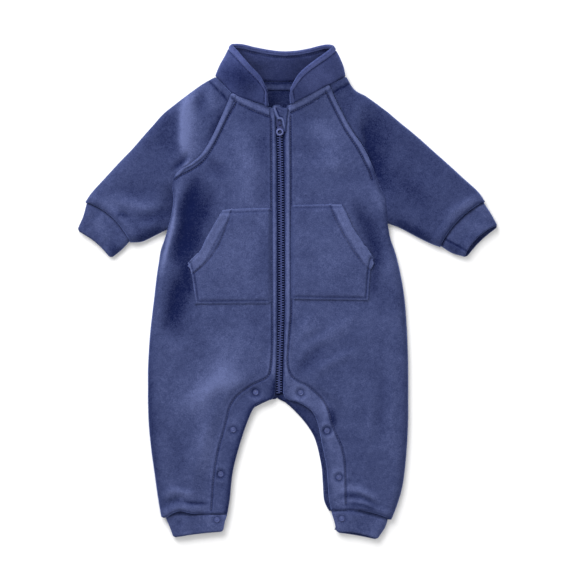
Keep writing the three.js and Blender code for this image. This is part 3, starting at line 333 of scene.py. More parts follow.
# Topstitched lines, as points that a smooth curve passes through
STITCH = {
    "zip_left": [(-18.8, 207), (-18.6, 150), (-18.4, 100), (-17.8, 0), (-17.6, -60), (-19.4, -90),
                 (-24, -102), (-40.7, -110.4), (-51, -117), (-61.3, -125.9), (-68.8, -137.8),
                 (-72.6, -153), (-77.6, -171.7), (-83.2, -192.4), (-86.4, -210.1), (-88.2, -223.4),
                 (-89.6, -244.1), (-91, -262)],
    "zip_right": [(4.2, 210), (4.8, 150), (4.9, 60), (5.2, -20), (2.8, -51), (0.8, -83), (4.7, -99),
                  (14, -107.5), (24, -112), (36, -122), (44.6, -131.9), (50.4, -143.6), (54.4, -158.4),
                  (59.4, -171.7), (65.3, -185), (69, -200), (70.4, -219), (70.8, -237), (71, -255)],
    "neck_left": [(-66.7, 233.6), (-60.2, 227.5), (-40, 217.5), (-20, 209.6)],
    "neck_right": [(5.2, 215.3), (28, 227), (51.4, 241.8), (60, 247)],
    "raglan_left": [(-61, 227), (-73.5, 204.6), (-87.2, 176.6), (-99.6, 157.6), (-113.6, 146.8),
                    (-127, 140.2), (-134.5, 135)],
    "raglan_right": [(47, 240), (57.2, 219.4), (71, 192.8), (84.2, 173), (93.6, 155.5), (99, 144),
                     (102, 135)],
}

# ---------------------------------------------------------------------------------------------------------
# Curves, distances and noise


def smooth(t):
    s = np.clip(t, 0, 1)
    return s * s * (3 - 2 * s)


def bell(distance, width):
    """1 at no distance, falling smoothly to nothing about two widths away."""
    return np.exp(-((distance / width) ** 2))


def curve(points, steps):
    """Catmull-Rom through points, which may have any number of columns: steps points to a span."""
    p = np.array(points, float)
    p = np.vstack([2 * p[0] - p[1], p, 2 * p[-1] - p[-2]])
    t = (np.arange(steps) / steps)[:, None]
    spans = [
        0.5 * (2 * b + (c - a) * t + (2 * a - 5 * b + 4 * c - d) * t**2 + (3 * b - 3 * c + d - a) * t**3)
        for a, b, c, d in zip(p[:-3], p[1:-2], p[2:-1], p[3:])
    ]
    return np.vstack([*spans, p[-2]])


def even(points, spacing):
    """The same polyline with its points spaced evenly."""
    run = np.concatenate([[0], np.cumsum(np.linalg.norm(np.diff(points[:, :3], axis=0), axis=1))])
    count = max(2, int(round(run[-1] / spacing)) + 1)
    at = np.linspace(0, run[-1], count)
    return np.column_stack([np.interp(at, run, points[:, k]) for k in range(points.shape[1])])


def table(columns, rows, spacing, first):
    """Rows of a table, smoothed and spaced evenly along the run of its columns first and first + 1."""
    dense = curve(rows, 12)
    names = columns.split()
    k = names.index(first)
    run = np.concatenate([[0], np.cumsum(np.hypot(*np.diff(dense[:, k:k + 2], axis=0).T))])
    at = np.linspace(0, run[-1], int(round(run[-1] / spacing)) + 1)
    return {name: np.interp(at, run, dense[:, j])[:, None] for j, name in enumerate(names)}


def nearest(line, x, y):
    """Distance from points to a polyline, its run there, and the side: +1 on the left of its way."""
    best = np.full(x.shape, 1e9)
    run = np.zeros(x.shape)
    side = np.zeros(x.shape)
    passed = 0.0
    for (ax, ay), (bx, by) in zip(line[:-1, :2], line[1:, :2]):
        ex, ey = bx - ax, by - ay
        length = math.hypot(ex, ey)
        t = np.clip(((x - ax) * ex + (y - ay) * ey) / length**2, 0, 1)
        dx, dy = x - ax - t * ex, y - ay - t * ey
        away = np.hypot(dx, dy)
        closer = away < best
        best = np.where(closer, away, best)
        run = np.where(closer, passed + t * length, run)
        side = np.where(closer, np.sign(ex * dy - ey * dx), side)
        passed += length
    return best, run, side


LATTICE = np.random.default_rng(7).random((64, 64))


def noise(x, y, size, shift=0):
    """Smooth noise from -1 to 1 with lumps of about size millimetres."""
    u, v = x / size + 17.3 * shift, y / size + 9.1 * shift
    i, j = np.floor(u).astype(int), np.floor(v).astype(int)
    s, t = smooth(u - i), smooth(v - j)
    at = lambda a, b: LATTICE[(i + a) % 64, (j + b) % 64]
    low = at(0, 0) * (1 - s) + at(1, 0) * s
    high = at(0, 1) * (1 - s) + at(1, 1) * s
    return 2 * (low * (1 - t) + high * t) - 1


def creases(rows, x, y, column):
    """Sum of a column of a table of creases (0 height, 1 painted shade and highlight), each fading at both
    ends.
    """
    total = np.zeros(np.broadcast(x, y).shape)
    for *amounts, left, right, points in rows:
        line = even(curve(points, 8), 3.0)
        away, run, side = nearest(line, x + 0 * y, y + 0 * x)
        length = np.sum(np.hypot(*np.diff(line, axis=0).T))
        fade = smooth(run / (0.4 * length)) * smooth((length - run) / (0.4 * length))
        sway = 1 + 0.22 * noise(run, 0 * run, 19, left)
        width = sway * np.where(side > 0, left, right)
        total = total + amounts[column] * fade * bell(away, width)
    return total


def undulation(x, y, amount):
    """The loose unevenness of laid fleece."""
    return amount * (0.6 * noise(x, y, 38) + 0.2 * noise(x, y, 16, 1) + 0.12 * noise(x, y, 5, 2))


# ---------------------------------------------------------------------------------------------------------
# Meshes


def mesh_from(name, points, faces, tone=None, soft=True):
    """An object from points in millimetres and faces of three or more corners, smooth-shaded if soft."""
    mesh = bpy.data.meshes.new(name)
    mesh.from_pydata((np.asarray(points) * MM).tolist(), [], [[int(k) for k in face] for face in faces])
    if soft:
        mesh.polygons.foreach_set("use_smooth", np.ones(len(mesh.polygons), bool))
    if tone is not None:
        layer = mesh.attributes.new("tone", "FLOAT", "POINT")
        layer.data.foreach_set("value", np.asarray(tone, np.float32))
    mesh.update()
    piece = bpy.data.objects.new(name, mesh)
    bpy.context.collection.objects.link(piece)
    return piece


def normals_of(grid, around=False):
    """Unit normals of a grid of points: along its rows, crossed with along its columns."""
    across = np.gradient(grid, axis=1)
    if around:
        across[:, 0] = across[:, -1] = (grid[:, 1] - grid[:, -2]) / 2
    normal = np.cross(across, np.gradient(grid, axis=0))
    return normal / np.maximum(np.linalg.norm(normal, axis=2, keepdims=True), 1e-9)


EDGE_BULGE = 0.42  # how far a shell's rounded edge stands out, as a share of its wall
DARKEST = 0.58  # the tone that deep shade levels off to


def shell(name, outer, wall, facing, tone, around=False):
    """A closed thin shell with rounded edges: outer is a grid of points on the cloth's outer face, and around
    says that each row's last point is its first."""
    rows, columns = outer.shape[:2]
    tone = np.where(tone < 0, DARKEST * np.tanh(tone / DARKEST), tone)
    normal = normals_of(outer, around) * facing
    wall = np.broadcast_to(wall, (rows, columns))[..., None]
    inner = outer - normal * wall
    count = rows * columns
    ids = np.arange(count).reshape(rows, columns)
    if around:
        ids[:, -1] = ids[:, 0]
    a, b, c, d = ids[:-1, :-1], ids[:-1, 1:], ids[1:, 1:], ids[1:, :-1]
    quads = np.stack([a, b, c, d], axis=-1).reshape(-1, 4)
    if facing < 0:
        quads = quads[:, ::-1]
    faces = [quads, quads[:, ::-1] + count]
    points = [outer.reshape(-1, 3), inner.reshape(-1, 3)]
    tones = [tone.reshape(-1), tone.reshape(-1)]
    # The border, in order round the grid
    if around:
        rings = [[(0, k) for k in range(columns - 1)], [(rows - 1, k) for k in range(columns - 2, -1, -1)]]
    else:
        ring = [(0, k) for k in range(columns)] + [(r, columns - 1) for r in range(1, rows)]
        ring += [(rows - 1, k) for k in range(columns - 2, -1, -1)]
        rings = [ring + [(r, 0) for r in range(rows - 2, 0, -1)]]
    start = 2 * count
    for ring in rings:
        rim = []
        for r, k in ring:
            inward_r = r + (1 if r == 0 else -1 if r == rows - 1 else 0)
            inward_k = k if around else k + (1 if k == 0 else -1 if k == columns - 1 else 0)
            way = outer[r, k] - outer[inward_r, inward_k]
            way = way - normal[r, k] * np.dot(way, normal[r, k])
            length = np.linalg.norm(way)
            way = way / length if length > 1e-6 else way
            rim.append((outer[r, k] + inner[r, k]) / 2 + way * wall[r, k] * EDGE_BULGE)
        n = len(ring)
        flat = np.array([ids[r, k] for r, k in ring])
        middle = start + np.arange(n)
        after, middle_after = np.roll(flat, -1), np.roll(middle, -1)
        upper = np.stack([after, flat, middle, middle_after], axis=-1)
        lower = np.stack([middle_after, middle, flat + count, after + count], axis=-1)
        border = np.vstack([upper, lower])
        faces.append(border if facing > 0 else border[:, ::-1])
        points.append(np.array(rim))
        tones.append(np.array([tone[r, k] for r, k in ring]))
        start += n
    return mesh_from(name, np.vstack(points), np.vstack(faces), np.concatenate(tones))


def spread(count, crowd=0.55):
    """Shares from 0 to 1, closer together at both ends."""
    t = np.linspace(0, 1, count)
    return t - crowd * np.sin(2 * np.pi * t) / (2 * np.pi)


def rounded(distance, radius):
    """0 at an edge, 1 a radius in: a quarter circle."""
    share = np.clip(distance / radius, 0, 1)
    return np.sqrt(np.maximum(1 - (1 - share) ** 2, 0))


def groove(x, y, line, depth, width):
    """A stitched groove, puckered unevenly along its run."""
    away, run, side = nearest(line, x, y)
    pucker = 0.78 + 0.3 * noise(run, run * 0, 7, 3) + 0.16 * noise(run, run * 0, 3.2, 5)
    return -depth * pucker * bell(away, width), away, side


def swell(away, width, height):
    """A soft raised strip beside a line, width wide."""
    t = np.clip(away / width, 0, 1)
    return height * np.sin(np.pi * t) ** 0.7


LINES = {name: even(curve(points, 12), 2.0) for name, points in STITCH.items()}


def dimples(x, y):
    """The hollow that each snap pulls in the cloth, with a few rays and a faint raised ring."""
    total = np.zeros(x.shape)
    for _, sx, sy, depth in SNAPS:
        away = np.hypot(x - sx, y - sy)
        angle = np.arctan2(y - sy, x - sx)
        rays = 1 + 0.18 * np.sin(5 * angle + sx) * bell(away - 8, 5)
        total = total - depth * rays * bell(away, 5.2)
        total = total + 0.35 * depth * bell(away - 8.5, 3)
    return total


# ---------------------------------------------------------------------------------------------------------
# Fleece panels: the spacing of each grid's rows, and how many points lie across it

FRONT_STEP, FRONT_COUNT = 1.5, 128
BACK_STEP, BACK_COUNT = 3.4, 44
SLEEVE_STEP, SLEEVE_UPPER, SLEEVE_LOWER = 1.6, 88, 34
CUFF_STEP = 1.1
CUFF_COUNTS = {True: (70, 40), False: (60, 36)}  # upper and lower, on a leg and on a sleeve
COLLAR_STEP, COLLAR_COUNT = 1.25, 40
POCKET_STEP, POCKET_COUNT = 1.4, 78

def snap_shade(x, y):
    """1 in the pulled ring round each snap."""
    return sum(bell(np.hypot(x - sx, y - sy) - 4.4, 1.5) for _, sx, sy, _ in SNAPS)


def front_panel(name, rows, side):
    """side is -1 on the left and 1 on the right."""
    r = table(FRONT_COLUMNS, rows, FRONT_STEP, "zip_x")
    share = spread(FRONT_COUNT)[None, :]
    dx, dy = r["zip_x"] - r["side_x"], r["zip_y"] - r["side_y"]
    width = np.hypot(dx, dy)
    d = width * share
    x = r["side_x"] + dx * share
    y = r["side_y"] + dy * share + r["bow"] * 4 * share * (1 - share)
    if side < 0:
        # The outer corner of the left leg hangs over its cuff, and the cloth beside it is drawn up
        droop = -4.6 * bell(x + 147, 7) + 3.2 * bell(x + 128, 9)
        y = y + droop * smooth((-240 - y) / 22)
    loft = BODY_LOFT + creases(BODY_CREASES, x, y, 0)
    level = r["zip_z"] + (loft - r["zip_z"]) * smooth((width - d - r["flat"]) / BAND_RISE)
    z = r["side_z"] + (level - r["side_z"]) * rounded(d, r["roll"])
    key = "left" if side < 0 else "right"
    # The folded edge along the zip, and the broad placket below it
    edge = width - d
    at_zip = smooth((y + 112) / 16)
    relief = at_zip * swell(edge, 6.4, 0.55) * smooth((222 - y) / 10)
    dip, away, hand = groove(x, y, LINES["zip_" + key], 1.15, 1.15)
    lines = bell(away, 1.3)
    inside = hand * -side > 0
    relief += dip + (1 - at_zip) * np.where(inside, 0.75, 0.0) * smooth(away / 3.0)
    relief += 0.4 * bell(away - 2.6, 1.3)
    # The bands of seam allowance along the neck and the raglan seam
    dip, away, _ = groove(x, y, LINES["neck_" + key], 1.5, 1.2)
    neck_rows = COLLAR[:4] if side < 0 else COLLAR[:-5:-1]
    to_neck = nearest(curve([(row[0], row[1]) for row in neck_rows], 8), x, y)[0]
    band = np.where(to_neck + away < 12, swell(away, 9.5, 1.0), 0)
    relief += dip + 1.7 * band
    lines = np.maximum(lines, 1.15 * bell(away, 1.4))
    dip, away, _ = groove(x, y, LINES["raglan_" + key], 1.4, 1.2)
    above = smooth((y - (134 if side < 0 else 146)) / 8)
    seam_band = np.where(d < 6.4, swell(d + 0.6, 7.4, 1.0), 0) * above
    relief += dip + 1.5 * seam_band
    lines = np.maximum(lines, 1.15 * bell(away, 1.4) * smooth((y - 128) / 8))
    hollow = dimples(x, y)
    relief += hollow + undulation(x, y, 1.1) * smooth(d / 12)
    z = z + relief
    # The hem turns down over the cuff, and the placket's edge is rounded
    hem = nearest(np.column_stack([x[0], y[0]]), x, y)[0]
    puff = 1.3 * swell(hem, 11, 1.0) * smooth((edge - 22) / 14)
    z = z + puff - np.maximum(z - 9.6, 0) * (1 - rounded(hem, 4.5)) * 0.95
    z = z - 0.9 * (1 - rounded(edge, 1.8))
    z = z - (1 - at_zip) * 1.6 * (1 - rounded(edge, 5.0))
    outer = np.stack([x, y, z], axis=-1)
    # Painted shade and highlight in the tone: darker in the crease table's troughs, stitched grooves, snap
    # dimples and the ring round each snap, along the rolled side edge, the placket's edge, the zip's gap and
    # the hem; lighter on ridges, seam bands, zip lips and the puff over the cuff. patchy() is the nap's own
    # uneven tone.
    tone = creases(BODY_CREASES, x, y, 1) + patchy(x, y) + 0.10 * np.clip(relief, -1.5, 1.5)
    tone += 0.07 * (band + seam_band) - (0.24 + 0.16 * at_zip) * lines + 0.12 * hollow + 0.08 * puff
    tone += at_zip * 0.15 * swell(edge, 6.0, 1.0)
    tone -= 0.40 * np.exp(-d / 3.0) * (1 - above)
    leg_edge, leg_strip = (0.46, 0.14) if side < 0 else (0.22, -0.06)
    tone -= (1 - at_zip) * (leg_edge * bell(edge, 5) + leg_strip * inside)
    tone -= 0.09 * snap_shade(x, y)
    tone -= at_zip * 0.34 * bell(edge, 1.4) + 0.20 * bell(hem, 1.6)
    return shell(name, outer, CLOTH, -side, tone)


def patchy(x, y):
    """Uneven brushing of the nap."""
    return 0.04 * noise(x, y, 26, 4) + 0.035 * noise(x, y, 10, 6) + 0.045 * noise(x, y, 4.5, 14)


def back_half(rows, side, inner, flip):
    """Half of the back, from its side edge to the centre line or the inner leg."""
    r = table(BACK_COLUMNS, rows, BACK_STEP, side + "_x")
    share = spread(BACK_COUNT, 0.7)[None, :]
    ex, ey = r[side + "_x"], r[side + "_y"]
    dx, dy = r[inner + "_x"] - ex, r[inner + "_y"] - ey
    d = np.hypot(dx, dy) * share
    z = r["rim"] * (1 - rounded(d, BACK_ROLL))
    grid = np.stack([ex + dx * share, ey + dy * share, z], axis=-1)
    return grid[:, ::-1] if flip else grid


def back_panel():
    """Two halves from side to side, joined in one piece: they meet on the centre line, and part at the
    crotch.
    """
    left = back_half(BACK, "left", "inner_left", False)
    right = back_half(BACK, "right", "inner_right", True)
    rows = min(len(left), len(right))
    at = lambda grid: grid[np.round(np.linspace(0, len(grid) - 1, rows)).astype(int)]
    pieces = []
    for key, grid, edge in (("left", at(left), 0), ("right", at(right), -1)):
        x, y = grid[..., 0], grid[..., 1]
        rim = np.hypot(x - grid[:, edge, 0][:, None], y - grid[:, edge, 1][:, None])
        # Painted shade: the back is darker where it lies under the front, and less so along its outer edge;
        # patchy() is the nap's own uneven tone.
        tone = patchy(x, y) - 0.44 + 0.40 * bell(rim, 4)
        pieces.append(shell("back_panel_" + key, grid, CLOTH, -1, tone))
    bpy.ops.object.select_all(action="DESELECT")
    for piece in pieces:
        piece.select_set(True)
    bpy.context.view_layer.objects.active = pieces[0]
    bpy.ops.object.join()
    pieces[0].name = "back_panel_cloth"
    return pieces[0]


def turn(r, upper_count, lower_count, top, fold_roll, roll, front_z, rim, bow=0.0, back_roll=BACK_ROLL):
    """Round a sleeve or cuff: over the top from the front edge to the fold, and back underneath."""
    share = spread(upper_count)[None, :]
    fx, fy = r["fold_x"], r["fold_y"]
    dx, dy = r["front_x"] - fx, r["front_y"] - fy
    width = np.hypot(dx, dy)
    d = width * share
    x = fx + dx * share
    y = fy + dy * share + bow * 4 * share * (1 - share)
    low = SEAM_Z + (front_z - SEAM_Z) * smooth((d - fold_roll) / np.maximum(width - fold_roll, 1))
    rise = rounded(d, fold_roll) * rounded(width - d, roll)
    z = low + (top(x, y, d, width) - low) * rise
    upper = np.stack([x, y, z + 0 * x], axis=-1)[:, ::-1]
    share = spread(lower_count)[None, :]
    bx, by = r.get("back_x", r["front_x"]) - fx, r.get("back_y", r["front_y"]) - fy
    width = np.hypot(bx, by)
    d = width * share
    seat = SEAM_Z + (rim - SEAM_Z) * smooth((d - back_roll) / np.maximum(width - back_roll, 1))
    z = seat * (1 - rounded(d, back_roll) * rounded(width - d, back_roll))
    lower = np.stack([fx + bx * share, fy + by * share, z + 0 * d], axis=-1)
    return np.concatenate([upper, lower[:, 1:]], axis=1)


def along(grid, r, way, seam, mouth, share):
    """Bow a tube's rows: seam and mouth are shifts along way, functions of the share across and of the
    distance from the nearer corner, in full at share 0 and at share 1."""
    across = np.hypot(grid[..., 0] - r["fold_x"], grid[..., 1] - r["fold_y"])
    width = np.hypot(r["front_x"] - r["fold_x"], r["front_y"] - r["fold_y"])
    t = np.clip(across / width, 0, 1)
    corner = width * np.minimum(t, 1 - t)
    shift = (1 - share) * seam(t, corner) + share * mouth(t, corner)
    grid[..., 0] += shift * way[0]
    grid[..., 1] += shift * way[1]


# Each wrist's way up the arm, and how far its seam bows up it
WRIST = {"left": ((0.649, 0.761), 7.4), "right": ((-0.704, 0.71), 6.6)}


def sleeve(name, rows, side):
    """One piece round the arm, from the cuff seam to the raglan seam and the neck."""
    r = table(SLEEVE_COLUMNS, rows, SLEEVE_STEP, "fold_x")
    key = "left" if side < 0 else "right"
    way, bow = WRIST[key]
    neck = curve([(row[0], row[1]) for row in (COLLAR[3:7] if side < 0 else COLLAR[-4:-7:-1])], 8)
    top = lambda x, y, d, width: SLEEVE_LOFT + creases(SLEEVE_CREASES, x, y, 0) + undulation(x, y, 1.1)
    grid = turn(r, SLEEVE_UPPER, SLEEVE_LOWER, top, 12, r["roll"], r["front_z"], r["rim"])
    run = SLEEVE_STEP * np.arange(grid.shape[0])[:, None]
    along(grid, r, way, lambda t, corner: bow * 4 * t * (1 - t), lambda t, corner: 0, smooth(run / 34))
    x, y, z = grid[..., 0], grid[..., 1], grid[..., 2]
    upper = np.arange(grid.shape[1])[None, :] < SLEEVE_UPPER
    # The band of seam allowance at the neck
    to_neck = nearest(neck, x, y)[0]
    line = bell(to_neck - 9.5, 1.3)
    band = swell(to_neck, 9.5, 1.0)
    z += np.where(upper, 1.7 * band - 1.4 * line, 0)
    # The end puffs over the cuff and turns down into the seam
    wrist = nearest(grid[0, :SLEEVE_UPPER, :2], x, y)[0]
    puff = 1.2 * swell(wrist, 14, 1.0)
    drop = np.maximum(z + puff - 10.6, 0) * (1 - rounded(wrist, 5.5)) * 0.98
    z += np.where(upper, puff - drop, 0)
    # Painted shade and highlight in the tone: the crease table's tones, darker along the neck band's stitch
    # line, at the cuff seam and all over the underside, lighter on the neck band and the puff at the wrist.
    # The right sleeve is set darker than the left, and patchy() is the nap's own uneven tone.
    tone = creases(SLEEVE_CREASES, x, y, 1) + patchy(x, y) + 0.10 * puff - (0.10 if side < 0 else 0.17)
    tone -= (0.04 if side < 0 else 0.16) * bell(wrist, 1.8) + 0.50 * line - 0.08 * band
    tone = np.where(upper, tone, patchy(x, y) - 0.2)
    return shell(name, grid, CLOTH, side, tone)


TUCK = 3.2  # how far a cuff reaches under the cloth above it
CUFF_JOIN = np.array([(187.0, 65.5), (218.0, 48.0)])  # the join that runs along the right sleeve's cuff


def cuff(name, rows, side, leg):
    """A doubled cuff: a closed ring on a sleeve, and open at the inner side on a leg."""
    r = table(CUFF_COLUMNS, tucked(rows), CUFF_STEP, "fold_x")
    upper_count, lower_count = CUFF_COUNTS[leg]
    count = len(r["fold_x"])
    share = np.linspace(0, 1, count)[:, None]
    run = CUFF_STEP * np.arange(count)[:, None]
    to_mouth = run[-1] - run
    key = "left" if side < 0 else "right"
    under = 1 - smooth((run - TUCK + 0.8) / 4.5)
    pinch = lambda x, y: 0.45 * noise(x, y, 9, 8) + 0.25 * noise(x, y, 4.5, 9)
    mouth_roll = 0.9 * (1 - rounded(to_mouth, 2.6))
    top = lambda x, y, d, width: (
        r["height"] - 2.2 * under - mouth_roll + pinch(x, y) + (dimples(x, y) if leg else 0))
    corners = lambda corner: 3.2 * (1 - rounded(corner, 4.0))
    if leg:
        bow = (4.0 if side > 0 else 0.0) * (1 - 0.5 * smooth(share * 2))
        grid = turn(r, upper_count, lower_count, top, 8, 26, PLACKET_TOP - 1.6 * under, 2.7, bow)
        way = (0.0, 1.0)
        mouth = lambda t, corner: 1.0 * np.sin(np.pi * t) + corners(corner)
        along(grid, r, way, lambda t, corner: 0, mouth, smooth(share * 1.2 - 0.2))
    else:
        grid = turn(r, upper_count, lower_count, top, 8, 8, SEAM_Z, SEAM_Z)
        way, bow = WRIST[key]
        hollow = 3.0 if side < 0 else 2.4
        along(grid, r, way, lambda t, corner: bow * 4 * t * (1 - t),
              lambda t, corner: hollow * np.sin(np.pi * t) ** 1.2 + corners(corner), share)
    upper = np.arange(grid.shape[1])[None, :] < upper_count
    x, y = grid[..., 0], grid[..., 1]
    line = np.zeros(x.shape)
    if not leg and side > 0:
        # The mouth's upper edge lies back from the lower one, and a join runs along the arm
        across = np.clip(np.arange(grid.shape[1]) / (upper_count - 1), 0, 1)[None, :]
        pull = 4.6 * smooth(share * 1.6 - 0.6) * np.sin(np.pi * across) ** 0.8
        for k in (0, 1):
            grid[..., k] += np.where(upper, pull * way[k], 0)
        line = bell(nearest(CUFF_JOIN, x, y)[0], 1.3)
        grid[..., 2] -= np.where(upper, 0.9 * line, 0)
    grid[..., 2] += np.where(upper, 0, 2.2 * under)
    # Painted shade and highlight in the tone: sleeve cuffs set a little darker than leg cuffs, lighter on
    # pinched-up cloth, darker along the right cuff's join, where the cuff tucks under the cloth above, at the
    # mouth's rolled edge, in the snap dimples and on the underside; patchy() is the nap's own uneven tone.
    level = 0.02 if leg else -0.08
    seam_shade = 0.14 if side < 0 and not leg else 0.26
    tone = level + creases(CUFF_CREASES, x, y, 1) + patchy(x, y) + 0.12 * pinch(x, y) - 0.4 * line
    tone = tone - seam_shade * (1 - smooth((run - TUCK) / 2.0)) - 0.16 * (1 - rounded(to_mouth, 2.2))
    tone = np.where(upper, tone + (0.24 * dimples(x, y) if leg else 0), tone - 0.25)
    if not leg:
        grid[:, -1] = grid[:, 0]
        tone[:, -1] = tone[:, 0]
    wall = CLOTH - 1.0 * under
    return shell(name, grid, wall, -side, tone, around=not leg)


def tucked(rows):
    """The rows of a cuff, with its seam end carried on under the cloth above it."""
    first, second = np.array(rows[0], float), np.array(rows[1], float)
    gap = second - first
    extra = first - gap * TUCK / np.hypot(gap[0], gap[1])
    extra[4] = first[4]
    return [tuple(extra), *rows]


# Painted shade and highlight only, with no height: lighter and darker streaks across the cuffs
CUFF_CREASES = [
    (0, 0.12, 10, 10, [(-240, 96), (-228, 84), (-214, 76)]),
    (0, -0.30, 8, 8, [(-200, 56), (-208, 48), (-214, 44)]),
    (0, -0.14, 8, 8, [(-246, 88), (-240, 84), (-232, 78)]),
    (0, 0.10, 12, 12, [(232, 92), (224, 80), (214, 70)]),
    (0, -0.20, 7, 7, [(190, 60), (200, 54), (212, 46)]),
    (0, -0.06, 9, 9, [(-140, -276), (-120, -280), (-96, -280)]),
    (0, -0.12, 9, 9, [(60, -272), (84, -276), (108, -284)]),
]

COLLAR_STITCH = 7.4  # from the top edge and the free ends


def collar():
    """The stand collar, and the paths of its topstitching."""
    r = table(COLLAR_COLUMNS, COLLAR, COLLAR_STEP, "top_x")
    foot = np.stack([r["foot_x"], r["foot_y"], r["foot_z"]], axis=-1)
    top = np.stack([r["top_x"], r["top_y"], r["top_z"]], axis=-1)
    share = spread(COLLAR_COUNT, 0.4)[None, :, None]
    grid = foot + (top - foot) * share
    height = np.linalg.norm(top - foot, axis=2)
    share = share[..., 0]
    rows = grid.shape[0]
    normal = normals_of(grid)
    down = (1 - share) * height
    run = np.concatenate([[0], np.cumsum(np.linalg.norm(np.diff(top[:, 0], axis=0), axis=1))])[:, None]
    ends = np.minimum(run, run[-1] - run)
    # A rounded corner at each free end, the topstitching, and a soft crown between
    line = np.minimum(down, ends)
    pucker = 0.8 + 0.35 * noise(run + 0 * share, share * 60, 7, 3)
    dip = 1.25 * pucker * bell(line - COLLAR_STITCH, 1.1) * smooth((height * share - 4) / 4)
    crown = 1.3 * np.sin(np.pi * share) ** 0.8 + 0.8 * noise(run + 0 * share, share * height, 16, 11)
    lip = 1.0 * bell(line - 3.6, 2.6)
    base = grid + normal * (crown - dip + 0.8 * lip)[..., None]
    wall = COLLAR_WALL - 1.7 * dip + 1.2 * lip
    corner = 5.0 * np.maximum(0, 1 - ends / 9.0) ** 2 * share**2
    way = (top - foot) / height[..., None]
    base = base - way * corner[..., None]
    x, y = base[..., 0], base[..., 1]
    # Painted shade and highlight in the tone: lighter on the rounded border, darker in the stitched groove
    # and at the foot, and the crease table's painted shade and highlight
    tone = creases(COLLAR_CREASES, x, y, 1) + patchy(x, y) + 0.24 * lip - 0.40 * dip
    tone -= 0.45 * bell(height * share, 2.5)
    piece = shell("collar_cloth", base, wall, 1, tone)
    # Where the topstitching runs, on the outer and on the inner face
    paths = []
    for face, sign in ((base, 1.0), (base - normal * wall[..., None], -1.0)):
        stitched = []
        for k in range(rows):
            if ends[k, 0] < COLLAR_STITCH:
                continue
            at = np.interp(COLLAR_STITCH, down[k, ::-1], np.arange(COLLAR_COUNT)[::-1])
            low, part = int(at), at - int(at)
            point = face[k, low] * (1 - part) + face[k, min(low + 1, COLLAR_COUNT - 1)] * part
            stitched.append(np.concatenate([point, normal[k, low] * sign]))
        paths.append(np.array(stitched))
    return piece, paths


# Painted shade and highlight only, with no height: darker across the left front, where it faces away from the
# light, and across the middle; lighter on strips at the left top and on the right
COLLAR_CREASES = [
    (0, -0.52, 14, 15, [(-92, 262), (-74, 262), (-56, 258), (-42, 246), (-30, 232)]),
    (0, 0.10, 8, 8, [(-62, 288), (-44, 270), (-30, 256)]),
    (0, -0.12, 12, 12, [(-40, 262), (-8, 262), (30, 262)]),
    (0, 0.12, 9, 9, [(10, 240), (28, 258), (44, 276)]),
    (0, 0.16, 14, 14, [(24, 236), (44, 252), (58, 270)]),
]


def pocket(name, rows, side, under):
    """Half of the kangaroo pocket, laid on the pieces under it, with a hemmed slanted opening."""
    r = table(POCKET_COLUMNS, rows, POCKET_STEP, "outer_x")
    share = spread(POCKET_COUNT, 0.6)[None, :]
    x = r["outer_x"] + (r["zip_x"] - r["outer_x"]) * share
    y = r["outer_y"] + (r["zip_y"] - r["outer_y"]) * share
    outline = POCKET_EDGES[name]
    slant = nearest(outline["slant"], x, y)[0]
    sewn = nearest(outline["sewn"], x, y)[0]
    top = nearest(outline["top"], x, y)[0]
    hem = nearest(outline["hem"], x, y)
    edge_x = np.abs(x - r["zip_x"])
    bed = np.array([height_on(under, px, py) for px, py in zip(x.ravel(), y.ravel())]).reshape(x.shape)
    bed = soften(bed, 6)
    z = bed + CLOTH + 0.25
    # The opening stands off the front, and the sewn edges are pressed down
    z = z + 2.2 * np.exp(-slant / 9) * smooth(sewn / 8) * smooth(top / 6)
    z = z + 0.7 * smooth(sewn / 9) * smooth(edge_x / 10) * smooth(top / 10)
    pucker = 0.8 + 0.4 * noise(x, y, 7, 12)
    seam = bell(sewn - 3.0, 1.1) * smooth((edge_x - 1) / 3)
    seam = np.maximum(seam, 0.7 * bell(top - 3.0, 1.1))
    z = z - 1.3 * pucker * seam
    dip = 1.3 * pucker * bell(hem[0], 1.1)
    hemmed = smooth((12.0 - slant) / 2.0)
    relief = 0.7 * hemmed - dip + 0.3 * bell(slant - 2.5, 2)
    z = z + relief * smooth((edge_x - 8) / 6) + undulation(x, y, 0.7)
    z = z - 1.0 * (1 - rounded(np.minimum(sewn, top), 2.0)) - 0.7 * (1 - rounded(slant, 2.0))
    z = z - 2.2 * (1 - smooth(edge_x / 5))
    # Painted shade and highlight in the tone: lighter on raised cloth, the hem band and the sewn edges,
    # darker in the stitched grooves, the hem line and by the zip; patchy() is the nap's own uneven tone.
    tone = creases(POCKET_CREASES, x, y, 1) + patchy(x, y) + 0.08 * np.clip(relief, -1.5, 1.5)
    tone -= 0.30 * seam + 0.18 * dip - 0.14 * hemmed
    tone += 0.10 * bell(np.minimum(sewn, top), 1.8) - 0.1 * bell(edge_x, 2.5)
    outer = np.stack([x, y, z], axis=-1)
    return shell(name + "_cloth", outer, CLOTH, -side, tone)


def soften(field, times):
    for _ in range(times):
        padded = np.pad(field, 1, mode="edge")
        field = (padded[:-2, 1:-1] + padded[2:, 1:-1] + padded[1:-1, :-2] + padded[1:-1, 2:]) / 4
    return field


